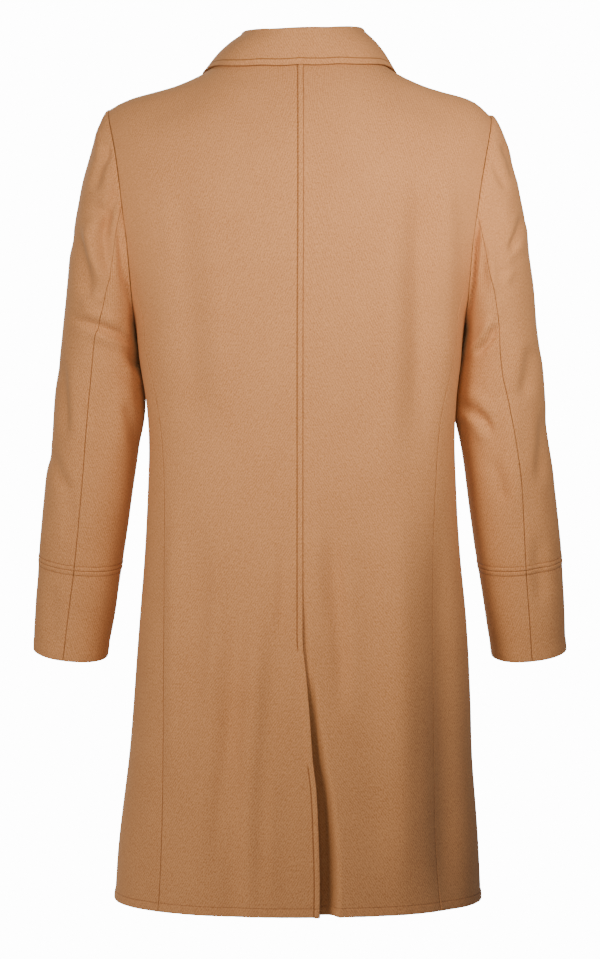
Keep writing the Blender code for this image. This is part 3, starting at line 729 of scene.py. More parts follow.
sleeveStations = {
    "outerX": (0.2265, 0.2325, 0.2405, 0.2500, 0.2600, 0.2695, 0.2765, 0.2835,
               0.2900, 0.2965, 0.3015, 0.3085, 0.3145, 0.3190, 0.3230, 0.3255),
    "outerZ": (-0.0570, -0.0600, -0.0760, -0.1050, -0.1450, -0.1900, -0.2400, -0.2950,
               -0.3500, -0.4050, -0.4550, -0.5050, -0.5550, -0.6050, -0.6550, -0.7060),
    "innerX": (0.1975, 0.1985, 0.1990, 0.1992, 0.1993, 0.1986, 0.1966, 0.1950,
               0.1903, 0.1868, 0.1962, 0.2030, 0.2105, 0.2180, 0.2265, 0.2350),
    "innerZ": (-0.3120, -0.3145, -0.3175, -0.3210, -0.3250, -0.3300, -0.3380, -0.3510,
               -0.3780, -0.4150, -0.4640, -0.5150, -0.5650, -0.6150, -0.6650, -0.7160),
    "middleY": (-0.003, -0.003, -0.003, -0.004, -0.004, -0.006, -0.011, -0.018,
                -0.025, -0.029, -0.031, -0.033, -0.037, -0.042, -0.048, -0.054),
    "halfDepth": (0.076, 0.077, 0.078, 0.079, 0.080, 0.080, 0.079, 0.078,
                  0.076, 0.072, 0.068, 0.065, 0.061, 0.057, 0.053, 0.050),
    "lean": (0.0, 0.0, 0.0, 0.0, 0.0, 0.0, 0.0, 0.0, 1.0, 3.0, 5.0, 7.0, 9.0, 10.0, 10.0, 10.0),
}

sleeveCut = {
    "cuffSeam": 12.8,         # counted in stations
    "end": 15.0,
    "blend": 4.0,
    "roundness": 0.92,
    "frontSeam": 280.0,
    "rows": 190,
    "cuffRows": 36,
    "columns": 92,
}

# The back seam's turn by station: it swings inwards below the armhole and turns down at the elbow.
backSeam = {
    "station": (0.0, 1.65, 2.85, 4.25, 5.75, 6.9, 7.4, 8.3, 9.05, 10.6, 12.65, 15.0),
    "left": (89.0, 95.0, 101.0, 104.5, 99.0, 92.5, 88.0, 84.5, 82.5, 86.0, 88.0, 85.0),
    "right": (92.0, 97.5, 101.5, 103.5, 99.0, 95.6, 95.0, 91.0, 85.0, 82.3, 87.5, 91.0),
}


def station(name, place):
    values = sleeveStations[name]
    return smoothValue(np.arange(len(values)), values, place)


def sleeveSection(side, place, turn):
    place, turn = np.broadcast_arrays(np.asarray(place, float), np.asarray(turn, float))
    zero = np.zeros_like(place)
    outer = np.stack((station("outerX", place), zero, station("outerZ", place)), axis=-1)
    inner = np.stack((station("innerX", place), zero, station("innerZ", place)), axis=-1)
    lean = np.radians(station("lean", place))
    depth = station("halfDepth", place)
    back = np.stack((zero, np.cos(lean) * depth, -np.sin(lean) * depth), axis=-1)
    cosine, sine = np.cos(np.radians(turn)), np.sin(np.radians(turn))
    along = np.copysign(np.abs(cosine) ** sleeveCut["roundness"], cosine)[..., None]
    across = np.copysign(np.abs(sine) ** sleeveCut["roundness"], sine)[..., None]
    point = (outer + inner) / 2.0 + (outer - inner) / 2.0 * along + back * across
    point[..., 1] += station("middleY", place)
    point[..., 0] *= side
    return point


def sleeveTurns(side, part, first, last, rows):
    # turn is 0 at the sleeve's outer edge, 90 at the back, 180 inside
    place = np.linspace(first, last, rows + 1)
    seam = smoothValue(backSeam["station"], backSeam["left" if side > 0 else "right"], place)
    front = np.full_like(seam, sleeveCut["frontSeam"])
    start, end = (front - 360.0, seam) if part == "upper" else (seam, front)
    share = np.linspace(0.0, 1.0, sleeveCut["columns"] + 1)[None, :]
    return place[:, None], start[:, None] + (end - start)[:, None] * share


def sleeveGrid(side, place, turn):
    # rows run down the sleeve
    grid = sleeveSection(side, place, turn)
    blend = 1.0 - ease(place / sleeveCut["blend"])
    angle, height = armhole(side, turn % 360.0)
    reach = torso(side, angle, height) - sleeveSection(side, 0.0, turn % 360.0)
    return grid + reach * blend[..., None]


# Creases of the sleeves on (x, height) in millimetres, x counted outwards: the back as seen from
# behind, and folds of the same kind on the hidden front.
sleeveCreases = {
    "leftBack": (
        (7.4, -4.2, (240, -170), (240, -159), (234, -131), (223, -112), (222, -100)),
        (6.7, 2.2, (238, -76), (238, -98), (236, -120), (243, -145)),
        (5.7, -3.7, (213, -150), (214, -164), (221, -184), (227, -204), (231, -222)),
        (8.5, -5.6, (262, -168), (255, -174), (227, -190), (229, -215), (228, -237), (221, -268)),
        (8.5, 4.5, (253, -196), (248, -210), (242, -232), (234, -259), (230, -276)),
        (9.7, -5.8, (268, -200), (262, -222), (255, -249), (248, -282), (246, -296)),
        (8, 2.7, (262, -296), (244, -292), (230, -282)),
        (5.5, -3.8, (278, -300), (264, -312), (248, -318), (230.5, -324.5), (213, -330), (190, -346)),
        (6.7, 2.2, (258, -300), (246, -305), (228, -310), (208, -320)),
        (7.4, 2.2, (252, -326), (236, -332), (218, -339), (200, -350)),
        (5.7, -5, (211.5, -196), (210.5, -222), (207, -254), (201, -280), (194, -306)),
        (6.7, -3.4, (210, -342), (203, -350), (190, -370)),
        (7.4, 2.2, (208, -366), (200, -374), (188, -390)),
        (8.5, -4.5, (286, -350), (283, -390), (276, -458)),
        (9.1, -3.7, (304, -460), (287, -496), (270, -524)),
        (9.1, -2.2, (277, -515), (273, -540), (271, -580)),
        (6.7, -3.7, (207, -405), (202, -430), (198, -470)),
        (13.7, -2.2, (230, -365), (230, -420), (236, -500)),
        (13.7, 1.8, (262, -360), (266, -430), (270, -520)),
        (11.4, -2.2, (300, -620), (296, -660), (300, -710)),
    ),
    "rightBack": (
        (4.7, -8.5, (206, -190), (205, -212), (203, -240), (201, -274), (198, -312)),
        (6.4, -4.3, (238, -98), (242, -108), (249, -124), (254, -150)),
        (5.3, -2.2, (224, -122), (232, -142), (245, -166)),
        (5.7, -4.3, (266, -184), (262, -196), (249, -228), (244, -242)),
        (6.4, -2.9, (258, -224), (252, -240), (238, -266)),
        (6.4, 2.9, (262, -216), (246, -250), (240, -280)),
        (5.3, -3.8, (204, -356), (212, -348), (223, -338), (232, -316)),
        (6.4, 3.4, (200, -358), (215, -330), (226, -306)),
        (5.4, -3.8, (190, -404), (201, -416.5), (219, -431), (229, -452)),
        (7.2, 2.5, (188, -416), (208, -436), (222, -462)),
        (7.2, 1.9, (196, -392), (214, -408), (232, -428)),
        (9.6, -3, (226, -470), (232, -490), (244, -534)),
        (10.1, -4.6, (276, -335), (272, -370), (264, -412)),
        (9.6, -4.3, (294, -410), (292, -455), (284, -515)),
        (12.7, 3, (246, -400), (252, -470), (262, -560)),
        (10.6, -3.4, (284, -560), (286, -600), (290, -660)),
        (6.4, 3.4, (220, -205), (222, -245), (228, -290)),
    ),
    "leftFront": (
        (12, 6, (205, -290), (199, -325), (196, -350), (200, -395)),
        (7, -5, (216, -372), (240, -386), (270, -390)),
        (7, -5, (206, -425), (232, -438), (266, -446)),
        (8, 4, (214, -400), (240, -412), (274, -418)),
        (9, -4, (262, -180), (250, -230), (232, -280)),
        (9, -3, (280, -260), (270, -310), (250, -345)),
        (10, 2.4, (276, -480), (280, -540), (284, -590)),
    ),
    "rightFront": (
        (12, 6, (205, -290), (199, -325), (196, -350), (200, -395)),
        (7, -5, (218, -366), (242, -380), (272, -388)),
        (7, -5, (208, -420), (234, -436), (268, -440)),
        (8, 4, (212, -394), (240, -408), (276, -414)),
        (9, -4, (264, -186), (252, -236), (234, -284)),
        (9, -3, (284, -280), (272, -326), (254, -352)),
        (10, 2.4, (274, -490), (280, -545), (286, -596)),
    ),
    "strength": 1.45,
    "uneven": 0.0014,
    "unevenSize": 0.050,
    "faceRun": 0.030,         # over this depth the back's folds give way to the front's
    "calmTop": 0.012,         # no folds this near the armhole
}


def sleeveRelief(side, calm):
    # calm says whether the piece starts at the armhole
    word = "left" if side > 0 else "right"
    heights = -np.asarray(sleeveStations["outerZ"])

    def relief(grid):
        out, height = side * grid[..., 0], grid[..., 2]
        middle = np.interp(-height, heights, sleeveStations["middleY"])
        back = ease((grid[..., 1] - middle) / sleeveCreases["faceRun"] + 0.5)
        total = creaseHeight(out, height, sleeveCreases[word + "Back"]) * back
        total += creaseHeight(out, height, sleeveCreases[word + "Front"]) * (1.0 - back)
        total *= sleeveCreases["strength"]
        offset = folds["sleeveNoise"] * side
        total += sleeveCreases["uneven"] * unevenness(grid, sleeveCreases["unevenSize"], offset)
        if calm:
            total *= ease(lengthsAlong(np.swapaxes(grid, 0, 1)).T / sleeveCreases["calmTop"])
        return total

    return relief


collarStations = {
    "place": (0.00, 0.40, 0.80, 1.00, 1.20, 1.45, 1.75, 1.97),
    "foldX": (0.0000, 0.0300, 0.0590, 0.0712, 0.0680, 0.0510, 0.0270, 0.0060),
    "foldY": (0.0670, 0.0610, 0.0370, 0.0000, -0.0370, -0.0720, -0.0940, -0.1010),
    "foldZ": (0.0246, 0.0252, 0.0295, 0.0325, 0.0180, -0.0120, -0.0395, -0.0500),
    "edgeX": (0.0000, 0.0420, 0.0850, 0.1120, 0.1150, 0.0960, 0.0690, 0.0400),
    "edgeTurn": (53.2, 55.0, 65.3, 88.0, 112.0, 131.0, 143.0, 149.5),
    "lift": (0.0014, 0.0014, 0.0015, 0.0020, 0.0030, 0.0036, 0.0036, 0.0040),
}

collarCut = {
    "foldRadius": 0.0032,
    "shift": 0.0035,
    "tilt": 0.030,
    "turnTilt": 1.0,          # degrees by which the edge lies higher on the wearer's right
    "seat": 0.0004,
    "frontSeat": 0.0016,
    "frontFrom": 0.9,         # where the front's seat begins, counted in places
    "frontRun": 0.3,
    "seatShare": 0.35,        # share of the wall by which the neck edge is raised as well
    "belly": 0.0035,
    "bellyOut": 0.6,
    "bellyUp": 0.8,
    "topTurn": 2.0,           # degrees from the shoulder line within which its own slope counts
    "probeTurn": 0.004,       # short steps that give the form's slope
    "probeDown": 0.0008,
    "probeOut": 0.002,
    "backColumns": 50,
    "frontColumns": 42,
    "profilePoints": 44,
}


def overShoulder(side, x, turn):
    # a point on the top of the form: turn is 0 at the back, 90 degrees on the shoulder line
    face = 1 if turn <= 90.0 else -1
    centre = bodyForm["bladeHeight"] if face > 0 else bodyForm["chestHeight"]
    height = centre + (float(shoulderLine(side * x)) - centre) * math.sin(math.radians(turn))
    angle = float(angleAt(side, x, height, face))
    here = torso(side, angle, height)
    step = collarCut["probeTurn"]
    around = torso(side, angle + step, height) - torso(side, angle - step, height)
    up = here - torso(side, angle, height - collarCut["probeDown"])
    normal = np.cross(up, around) * side
    if abs(turn - 90.0) < collarCut["topTurn"]:
        step = collarCut["probeOut"]
        slope = float(shoulderLine(side * x + step) - shoulderLine(side * x - step)) / (2.0 * step)
        normal = np.array((-slope, 0.0, 1.0))
    return here, normal / np.linalg.norm(normal)


def collarValue(name, place):
    # carried on past the middle, as the collar's other half has it
    sign = -1.0 if name in ("foldX", "edgeX") else 1.0
    places, values = collarStations["place"], collarStations[name]
    return float(smoothValue((-places[1], *places), (sign * values[1], *values), place))


def collarLine(side, place):
    # the collar's cloth, from the neckline up over the fold and down to the edge
    face = 1 if place <= 1.0 else -1
    out = bodyForm["neckHalf"] * math.sin((place if face > 0 else 2.0 - place) * math.pi / 2.0)
    baseHeight = float(neckline(out, face))
    base = torso(side, angleAt(side, out, baseHeight, face), baseHeight)
    read = {name: collarValue(name, place) for name in collarStations}
    read["edgeTurn"] -= side * collarCut["turnTilt"] * min(place, 1.0)
    fold = np.array((side * read["foldX"] - collarCut["shift"], read["foldY"], read["foldZ"]))
    fold[2] -= collarCut["tilt"] * fold[0]
    edge, normal = overShoulder(side, read["edgeX"], read["edgeTurn"])
    edge = edge + normal * read["lift"]
    outWay = edge - fold
    outWay[2] = 0.0
    outWay /= np.linalg.norm(outWay)
    up = np.array((0.0, 0.0, 1.0))
    radius = collarCut["foldRadius"]
    toFront = float(ease((place - collarCut["frontFrom"]) / collarCut["frontRun"]))
    seat = collarCut["seat"] + (collarCut["frontSeat"] - collarCut["seat"]) * toFront
    base = base + up * (seat + cloth["collarWall"] * collarCut["seatShare"])
    line = [base, base * 0.5 + (fold - outWay * radius) * 0.5]
    for turn in (180.0, 135.0, 90.0, 45.0, 0.0):
        radians = math.radians(turn)
        line.append(fold + outWay * radius * math.cos(radians) + up * radius * math.sin(radians))
    shoulder = line[-1]
    bellyWay = outWay * collarCut["bellyOut"] + up * collarCut["bellyUp"]
    for share in (0.3, 0.6, 1.0):
        belly = collarCut["belly"] * math.sin(share * math.pi)
        line.append(shoulder + (edge - shoulder) * share + bellyWay * belly)
    line = np.array(line)
    lengths = lengthsAlong(line[None])[0]
    places = np.linspace(0.0, lengths[-1], collarCut["profilePoints"])
    return np.stack([smoothValue(lengths, line[:, axis], places) for axis in range(3)], axis=-1)


def collarGrid():
    back = np.linspace(0.0, 1.0, collarCut["backColumns"] + 1)
    front = np.linspace(1.0, collarStations["place"][-1], collarCut["frontColumns"] + 1)[1:]
    half = np.concatenate((back, front))
    right = [collarLine(-1, place) for place in half[:0:-1]]
    return np.array(right + [collarLine(1, place) for place in half])


def hexColour(text):
    # sRGB hex to the linear colour that a node takes
    parts = [int(text[index:index + 2], 16) / 255.0 for index in (1, 3, 5)]
    linear = [part / 12.92 if part <= 0.04045 else ((part + 0.055) / 1.055) ** 2.4 for part in parts]
    return (*linear, 1.0)


def shaded(text, brightness):
    return (*(part * brightness for part in hexColour(text)[:3]), 1.0)


def addNode(tree, kind, settings=None, links=None):
    # one node with its settings; a link is input name -> (node, output name)
    node = tree.nodes.new(kind)
    for name, value in (settings or {}).items():
        if hasattr(node, name):
            setattr(node, name, value)
        else:
            node.inputs[name].default_value = value
    for name, (source, output) in (links or {}).items():
        tree.links.new(source.outputs[output], node.inputs[name])
    return node


def newMaterial(name):
    material = bpy.data.materials.new(name)
    material.use_nodes = True
    return material, material.node_tree, material.node_tree.nodes["Principled BSDF"]


def colourRamp(tree, source, output, *stops):
    # a stop is (position, colour)
    ramp = addNode(tree, "ShaderNodeValToRGB", None, {"Fac": (source, output)})
    elements = ramp.color_ramp.elements
    elements[0].position, elements[0].color = stops[0]
    elements[1].position, elements[1].color = stops[-1]
    for position, colour in stops[1:-1]:
        elements.new(position).color = colour
    return ramp


def setInputs(node, values):
    for name, value in values.items():
        node.inputs[name].default_value = value


print("stage: materials")

# Camel wool coating, woven as a twill and brushed: it looks matte and soft, with a fine slanting
# rib, flecks of lighter and darker yarn, and a pale bloom of fibre ends where it turns away.
woolLook = {
    "light": "#cb9665",
    "dark": "#ae7a4d",
    "fleckLight": "#d9a369",
    # painted shade: the colour that the cloth darkens towards in seam and stitch grooves and in the vent's
    # hollow
    "groove": "#6e4420",
    "darkUpTo": 0.34,
    "fleckFrom": 0.66,
    "twillSpacing": 0.0025,   # metres; real ribs of about 1 mm would be too fine to show
    "twillSlant": -32.0,      # degrees, so that the ribs climb steeply to the right
    "twillShare": 0.09,
    "yarnWidth": 0.0014,
    "yarnLength": 0.0026,
    "yarnShare": 0.36,
    "napSize": 0.0016,
    "napShare": 0.38,
    "cloudSize": 0.055,
    "cloudShare": 0.07,
    "grooveStart": 0.0001,
    "grooveDepth": 0.0008,
    "grooveShadeShare": 0.75,
    "roughness": 0.92,
    "sheen": 0.22,
    "sheenRoughness": 0.45,
    "sheenTint": "#f3d3a4",
    "specular": 0.18,
    "bump": 0.00030,
    "bumpStrength": 0.40,
}


def camelWool(name, look, brightness):
    material, tree, shader = newMaterial(name)
    flat = addNode(tree, "ShaderNodeUVMap", {"uv_map": "flatCloth"})
    solid = addNode(tree, "ShaderNodeTexCoord")
    rib = addNode(tree, "ShaderNodeMapping", {"Rotation": (0.0, 0.0, math.radians(look["twillSlant"]))},
                  {"Vector": (flat, "UV")})
    # a wave texture has 20 / (2 pi) bands for each unit
    twill = addNode(tree, "ShaderNodeTexWave", {
        "Scale": 2.0 * math.pi / 20.0 / look["twillSpacing"], "Distortion": 4.0, "Detail": 2.0,
        "Detail Scale": 2.4, "Detail Roughness": 0.6,
    }, {"Vector": (rib, "Vector")})
    stretch = addNode(tree, "ShaderNodeMapping", {
        "Scale": (1.0 / look["yarnWidth"], 1.0 / look["yarnLength"], 1.0)}, {"Vector": (flat, "UV")})
    yarn = addNode(tree, "ShaderNodeTexNoise", {"Scale": 1.0, "Detail": 2.0}, {"Vector": (stretch, "Vector")})
    nap = addNode(tree, "ShaderNodeTexNoise", {
        "Scale": 1.0 / look["napSize"], "Detail": 3.0, "Roughness": 0.7}, {"Vector": (solid, "Object")})
    cloud = addNode(tree, "ShaderNodeTexNoise", {"Scale": 1.0 / look["cloudSize"], "Detail": 3.0},
                    {"Vector": (solid, "Object")})
    total = addNode(tree, "ShaderNodeMath", {"operation": "MULTIPLY"}, {0: (twill, "Fac")})
    total.inputs[1].default_value = look["twillShare"]
    for source, share in ((yarn, "yarnShare"), (nap, "napShare"), (cloud, "cloudShare")):
        total = addNode(tree, "ShaderNodeMath", {"operation": "MULTIPLY_ADD"},
                        {0: (source, "Fac"), 2: (total, "Value")})
        total.inputs[1].default_value = look[share]
    ramp = colourRamp(tree, total, "Value", (look["darkUpTo"], shaded(look["dark"], brightness)),
                      (0.5, shaded(look["light"], brightness)),
                      (look["fleckFrom"], shaded(look["fleckLight"], brightness)))
    # painted shade: the cloth is mixed towards the groove colour by how deep the grooves beside its seams and
    # stitches are, and in the vent's hollow
    groove = addNode(tree, "ShaderNodeAttribute", {"attribute_name": "groove"})
    deep = addNode(tree, "ShaderNodeMapRange", {
        "From Min": look["grooveStart"], "From Max": look["grooveDepth"], "To Max": look["grooveShadeShare"],
    }, {"Value": (groove, "Fac")})
    paintedGrooveShade = addNode(tree, "ShaderNodeMix", {"data_type": "RGBA", "blend_type": "MIX"},
                  {"Factor": (deep, "Result"), "A": (ramp, "Color")})
    paintedGrooveShade.inputs["B"].default_value = shaded(look["groove"], brightness)
    bump = addNode(tree, "ShaderNodeBump", {"Strength": look["bumpStrength"], "Distance": look["bump"]},
                   {"Height": (total, "Value")})
    tree.links.new(paintedGrooveShade.outputs["Result"], shader.inputs["Base Color"])
    tree.links.new(bump.outputs["Normal"], shader.inputs["Normal"])
    setInputs(shader, {
        "Roughness": look["roughness"], "Specular IOR Level": look["specular"],
        "Sheen Weight": look["sheen"], "Sheen Roughness": look["sheenRoughness"],
        "Sheen Tint": hexColour(look["sheenTint"]),
    })
    return material


wool = camelWool("camelWoolTwill", woolLook, 1.0)
sides = ((1, "left"), (-1, "right"))

print("stage: body")

for side, word in sides:
    edges = {"first": "lappedSeam" if side > 0 else "underlap", "last": "plainSeam",
             "high": "plainSeam", "low": "hem"}
    shade = ventShade if side < 0 else None
    sewPiece("back", word, panelGrid(side, 1), edges, side, bodyRelief(1), shade=shade)
    edges = {"first": "plainSeam", "last": "frontEdge", "high": "plainSeam", "low": "hem"}
    sewPiece("front", word, panelGrid(side, -1), edges, side, bodyRelief(-1))

print("stage: sleeves")

for side, word in sides:
    for part in ("upper", "under"):
        turns = sleeveTurns(side, part, 0.0, sleeveCut["cuffSeam"], sleeveCut["rows"])
        edges = {"first": "plainSeam", "last": "plainSeam", "low": "plainSeam", "high": "cuffSeam"}
        sewPiece(f"sleeve_{part}", word, sleeveGrid(side, *turns), edges, side,
                 sleeveRelief(side, True), level="high")
        turns = sleeveTurns(side, part, sleeveCut["cuffSeam"], sleeveCut["end"], sleeveCut["cuffRows"])
        edges = {"first": "plainSeam", "last": "plainSeam", "low": "cuffSeam", "high": "fold"}
        sewPiece(f"cuff_{part}", word, sleeveGrid(side, *turns), edges, side,
                 sleeveRelief(side, False), level="high")

print("stage: collar")

grid = collarGrid()
grid += gridNormals(grid, -1.0) * cloth["collarWall"] / 2.0
edges = {"first": "collarEdge", "last": "collarEdge", "low": "fold", "high": "collarEdge"}
sewPiece("collar", "", np.swapaxes(grid, 0, 1), edges, 1.0, lambda points: np.zeros(points.shape[:2]),
         wall=cloth["collarWall"])

print("stage: stitching")

# Sewing thread of spun polyester in the cloth's colour, a little darker and smoother than the wool.
threadLook = {
    "colour": "#b07a42", "deep": "#8d5c2c", "deepUpTo": 0.35, "colourFrom": 0.65,
    "twist": 0.0006, "roughness": 0.6, "sheen": 0.15,
}

topstitch = {"Pitch": 0.0045, "Length": 0.0034, "Width": 0.00075, "Turn": 0.0}
threadLift = 0.00022


def threadMaterial():
    material, tree, shader = newMaterial("sewingThread")
    place = addNode(tree, "ShaderNodeTexCoord")
    grain = addNode(tree, "ShaderNodeTexNoise", {"Scale": 1.0 / threadLook["twist"], "Detail": 1.0},
                    {"Vector": (place, "Object")})
    ramp = colourRamp(tree, grain, "Fac", (threadLook["deepUpTo"], hexColour(threadLook["deep"])),
                      (threadLook["colourFrom"], hexColour(threadLook["colour"])))
    tree.links.new(ramp.outputs["Color"], shader.inputs["Base Color"])
    setInputs(shader, {"Roughness": threadLook["roughness"], "Sheen Weight": threadLook["sheen"]})
    return material


def stitchTree():
    # one rounded stitch for each pitch of every path, lying along it or turned across it
    tree = bpy.data.node_groups.new("stitchRun", "GeometryNodeTree")
    tree.interface.new_socket("Geometry", in_out="INPUT", socket_type="NodeSocketGeometry")
    for name in ("Pitch", "Length", "Width", "Turn"):
        tree.interface.new_socket(name, in_out="INPUT", socket_type="NodeSocketFloat")
    tree.interface.new_socket("Thread", in_out="INPUT", socket_type="NodeSocketMaterial")
    tree.interface.new_socket("Geometry", in_out="OUTPUT", socket_type="NodeSocketGeometry")
    given = addNode(tree, "NodeGroupInput")
    curve = addNode(tree, "GeometryNodeMeshToCurve", None, {"Mesh": (given, "Geometry")})
    spaced = addNode(tree, "GeometryNodeResampleCurve", {"mode": "LENGTH"},
                     {"Curve": (curve, "Curve"), "Length": (given, "Pitch")})
    tangent = addNode(tree, "GeometryNodeInputTangent")
    facing = addNode(tree, "GeometryNodeInputNamedAttribute", {"data_type": "FLOAT_VECTOR", "Name": "facing"})
    along = addNode(tree, "FunctionNodeAlignRotationToVector", {"axis": "X"},
                    {"Vector": (tangent, "Tangent")})
    upright = addNode(tree, "FunctionNodeAlignRotationToVector", {"axis": "Z", "pivot_axis": "X"},
                      {"Rotation": (along, "Rotation"), "Vector": (facing, "Attribute")})
    spin = addNode(tree, "FunctionNodeAxisAngleToRotation", {"Axis": (0.0, 0.0, 1.0)},
                   {"Angle": (given, "Turn")})
    turn = addNode(tree, "FunctionNodeRotateRotation", {"rotation_space": "LOCAL"},
                   {"Rotation": (upright, "Rotation"), "Rotate By": (spin, "Rotation")})
    ball = addNode(tree, "GeometryNodeMeshUVSphere", {"Segments": 6, "Rings": 4, "Radius": 0.5})
    size = addNode(tree, "ShaderNodeCombineXYZ", None,
                   {"X": (given, "Length"), "Y": (given, "Width"), "Z": (given, "Width")})
    stitch = addNode(tree, "GeometryNodeTransform", None,
                     {"Geometry": (ball, "Mesh"), "Scale": (size, "Vector")})
    vary = addNode(tree, "FunctionNodeRandomValue", {
        "data_type": "FLOAT_VECTOR", "Min": (0.88, 0.85, 0.80), "Max": (1.08, 1.15, 1.10), "Seed": 7})
    placed = addNode(tree, "GeometryNodeInstanceOnPoints", None, {
        "Points": (spaced, "Curve"), "Instance": (stitch, "Geometry"), "Rotation": (turn, "Rotation"),
        "Scale": (vary, "Value")})
    real = addNode(tree, "GeometryNodeRealizeInstances", None, {"Geometry": (placed, "Instances")})
    smooth = addNode(tree, "GeometryNodeSetShadeSmooth", None, {"Geometry": (real, "Geometry")})
    coloured = addNode(tree, "GeometryNodeSetMaterial", None,
                       {"Geometry": (smooth, "Geometry"), "Material": (given, "Thread")})
    addNode(tree, "NodeGroupOutput", None, {"Geometry": (coloured, "Geometry")})
    return tree


def sewStitches(name, paths, values):
    # paths are (points, normals, closed); the run becomes one plain mesh
    points = [point for path in paths for point in path[0].tolist()]
    ways = [way for path in paths for way in path[1].tolist()]
    edges = []
    first = 0
    for path, _, closed in paths:
        edges += [(first + index, first + index + 1) for index in range(len(path) - 1)]
        if closed:
            edges.append((first + len(path) - 1, first))
        first += len(path)
    guideMesh = bpy.data.meshes.new(f"{name}_path")
    guideMesh.from_pydata(points, edges, [])
    facing = guideMesh.attributes.new("facing", "FLOAT_VECTOR", "POINT")
    facing.data.foreach_set("vector", np.array(ways, np.float32).ravel())
    guide = addObject(f"{name}_path", guideMesh)
    modifier = guide.modifiers.new("stitches", "NODES")
    modifier.node_group = stitches
    given = {**values, "Thread": thread}
    for socket in stitches.interface.items_tree:
        if socket.in_out == "INPUT" and socket.name in given:
            modifier[socket.identifier] = given[socket.name]
    mesh = bpy.data.meshes.new_from_object(guide.evaluated_get(bpy.context.evaluated_depsgraph_get()))
    bpy.data.objects.remove(guide)
    declare(addObject(name, mesh), "wool")


def stitchLine(name, edge, kind, start=0.0, end=0.0, stop=math.inf):
    # the bottom of an edge's stitch groove, left out near its two ends and past a set length
    outer, normals = seams[name]
    column = edgeKinds[kind]["lines"].index(edgeKinds[kind]["stitch"])
    points = turned(outer, edge)[:, column]
    ways = turned(normals, edge)[:, column]
    run = lengthsAlong(points[None])[0]
    keep = (run >= start) & (run <= min(run[-1] - end, stop))
    return points[keep] + ways[keep] * threadLift, ways[keep], False


thread = threadMaterial()
stitches = stitchTree()

hemIn = edgeKinds["hem"]["stitch"]
frontIn = edgeKinds["frontEdge"]["stitch"]
collarIn = edgeKinds["collarEdge"]["stitch"]
plainFrom, plainTo = edgeKinds["lappedSeam"]["plain"]
runs = [
    stitchLine("back_left", "first", "lappedSeam", start=hemIn, stop=plainFrom),
    stitchLine("back_left", "first", "lappedSeam", start=plainTo),
    stitchLine("back_left", "low", "hem", start=edgeKinds["lappedSeam"]["stitch"]),
    stitchLine("back_right", "low", "hem"),
]
for edge in ("high", "first", "last"):
    runs.append(stitchLine("collar", edge, "collarEdge", start=collarIn, end=collarIn))
for side, word in sides:
    runs.append(stitchLine(f"front_{word}", "low", "hem", end=frontIn))
    runs.append(stitchLine(f"front_{word}", "last", "frontEdge", start=hemIn))
    for part in ("upper", "under"):
        runs.append(stitchLine(f"sleeve_{part}_{word}", "high", "cuffSeam"))
        runs.append(stitchLine(f"cuff_{part}_{word}", "low", "cuffSeam"))
sewStitches("topstitching", runs, topstitch)

print("stage: buttons")

buttonholes = {
    "from": -0.003,           # metres out from the middle of the front
    "to": 0.029,
    "halfHeight": 0.0015,
    "corner": 1.6,            # how soon the loop's long sides run straight
    "lift": 0.0001,
    "points": 48,
    "slitHalfHeight": 0.00045,
    "slitEnd": 0.06,          # the slit stops this share of the length short of each end
    "slitLeast": 0.15,        # and keeps this share of its height there
    "slitLift": 0.0001,
    "slitCrown": 0.0003,
    "slitDepth": 0.0004,
    "slitSteps": 12,
    # painted shade: the slit's wool keeps this share of its brightness
    "slitShadeBrightness": 0.25,
}

buttonholeStitch = {"Pitch": 0.0009, "Length": 0.0026, "Width": 0.0008, "Turn": math.radians(90.0)}

buttons = {
    "heights": (-0.135, -0.275, -0.415, -0.555),
    "probeTurn": 0.002,       # short steps that give the front's slope
    "probeRise": 0.0005,
    "standOff": 0.0003,
    "steps": 48,
    "holeRadius": 0.0011,
    "holeOut": 0.0023,
    "holeSteps": 16,
    "bevel": 0.0002,
    "bevelFrom": 50.0,        # degrees; only edges sharper than this are bevelled
    "barLength": 0.0066,
    "barWidth": 0.0013,
    "barHeight": 0.0034,
    "light": "#6b4a2e",
    "dark": "#32200f",
    "darkUpTo": 0.38,
    "lightFrom": 0.68,
    "streak": 0.004,
    "streakLength": 0.35,
    "roughness": 0.32,
}

# Radius and height of the button's outline, from the dished middle over the rim to the back.
buttonProfile = {
    "radius": (0.0, 0.0068, 0.0082, 0.0095, 0.0108, 0.0122, 0.0133,
               0.0139, 0.0140, 0.0137, 0.0128, 0.0110, 0.0),
    "height": (0.0029, 0.0029, 0.0032, 0.0040, 0.0045, 0.0046, 0.0041,
               0.0033, 0.0024, 0.0013, 0.0004, 0.0, 0.0),
}


def frontPoint(x, height, lift=0.0):
    # a point on the left front and the way it faces
    angle = angleAt(1, x, height, -1)
    here = torso(1, angle, height)
    turn, rise = buttons["probeTurn"], buttons["probeRise"]
    across = torso(1, angle + turn, height) - torso(1, angle - turn, height)
    up = torso(1, angle, height + rise) - torso(1, angle, height - rise)
    normal = np.cross(up, across)
    normal = normal / np.linalg.norm(normal)
    return here + normal * lift, normal


def holePath(height):
    # round the slit, as a long loop with round ends
    middle = (buttonholes["from"] + buttonholes["to"]) / 2.0
    half = (buttonholes["to"] - buttonholes["from"]) / 2.0 - buttonholes["halfHeight"]
    points, ways = [], []
    for index in range(buttonholes["points"]):
        turn = 2.0 * math.pi * index / buttonholes["points"]
        cosine, sine = math.cos(turn), math.sin(turn)
        out = middle + math.copysign(half * min(1.0, abs(cosine) * buttonholes["corner"]), cosine)
        out += buttonholes["halfHeight"] * cosine
        rise = buttonholes["halfHeight"] * math.copysign(abs(sine) ** 0.5, sine)
        point, way = frontPoint(out, height + rise, buttonholes["lift"])
        points.append(point)
        ways.append(way)
    return np.array(points), np.array(ways), True


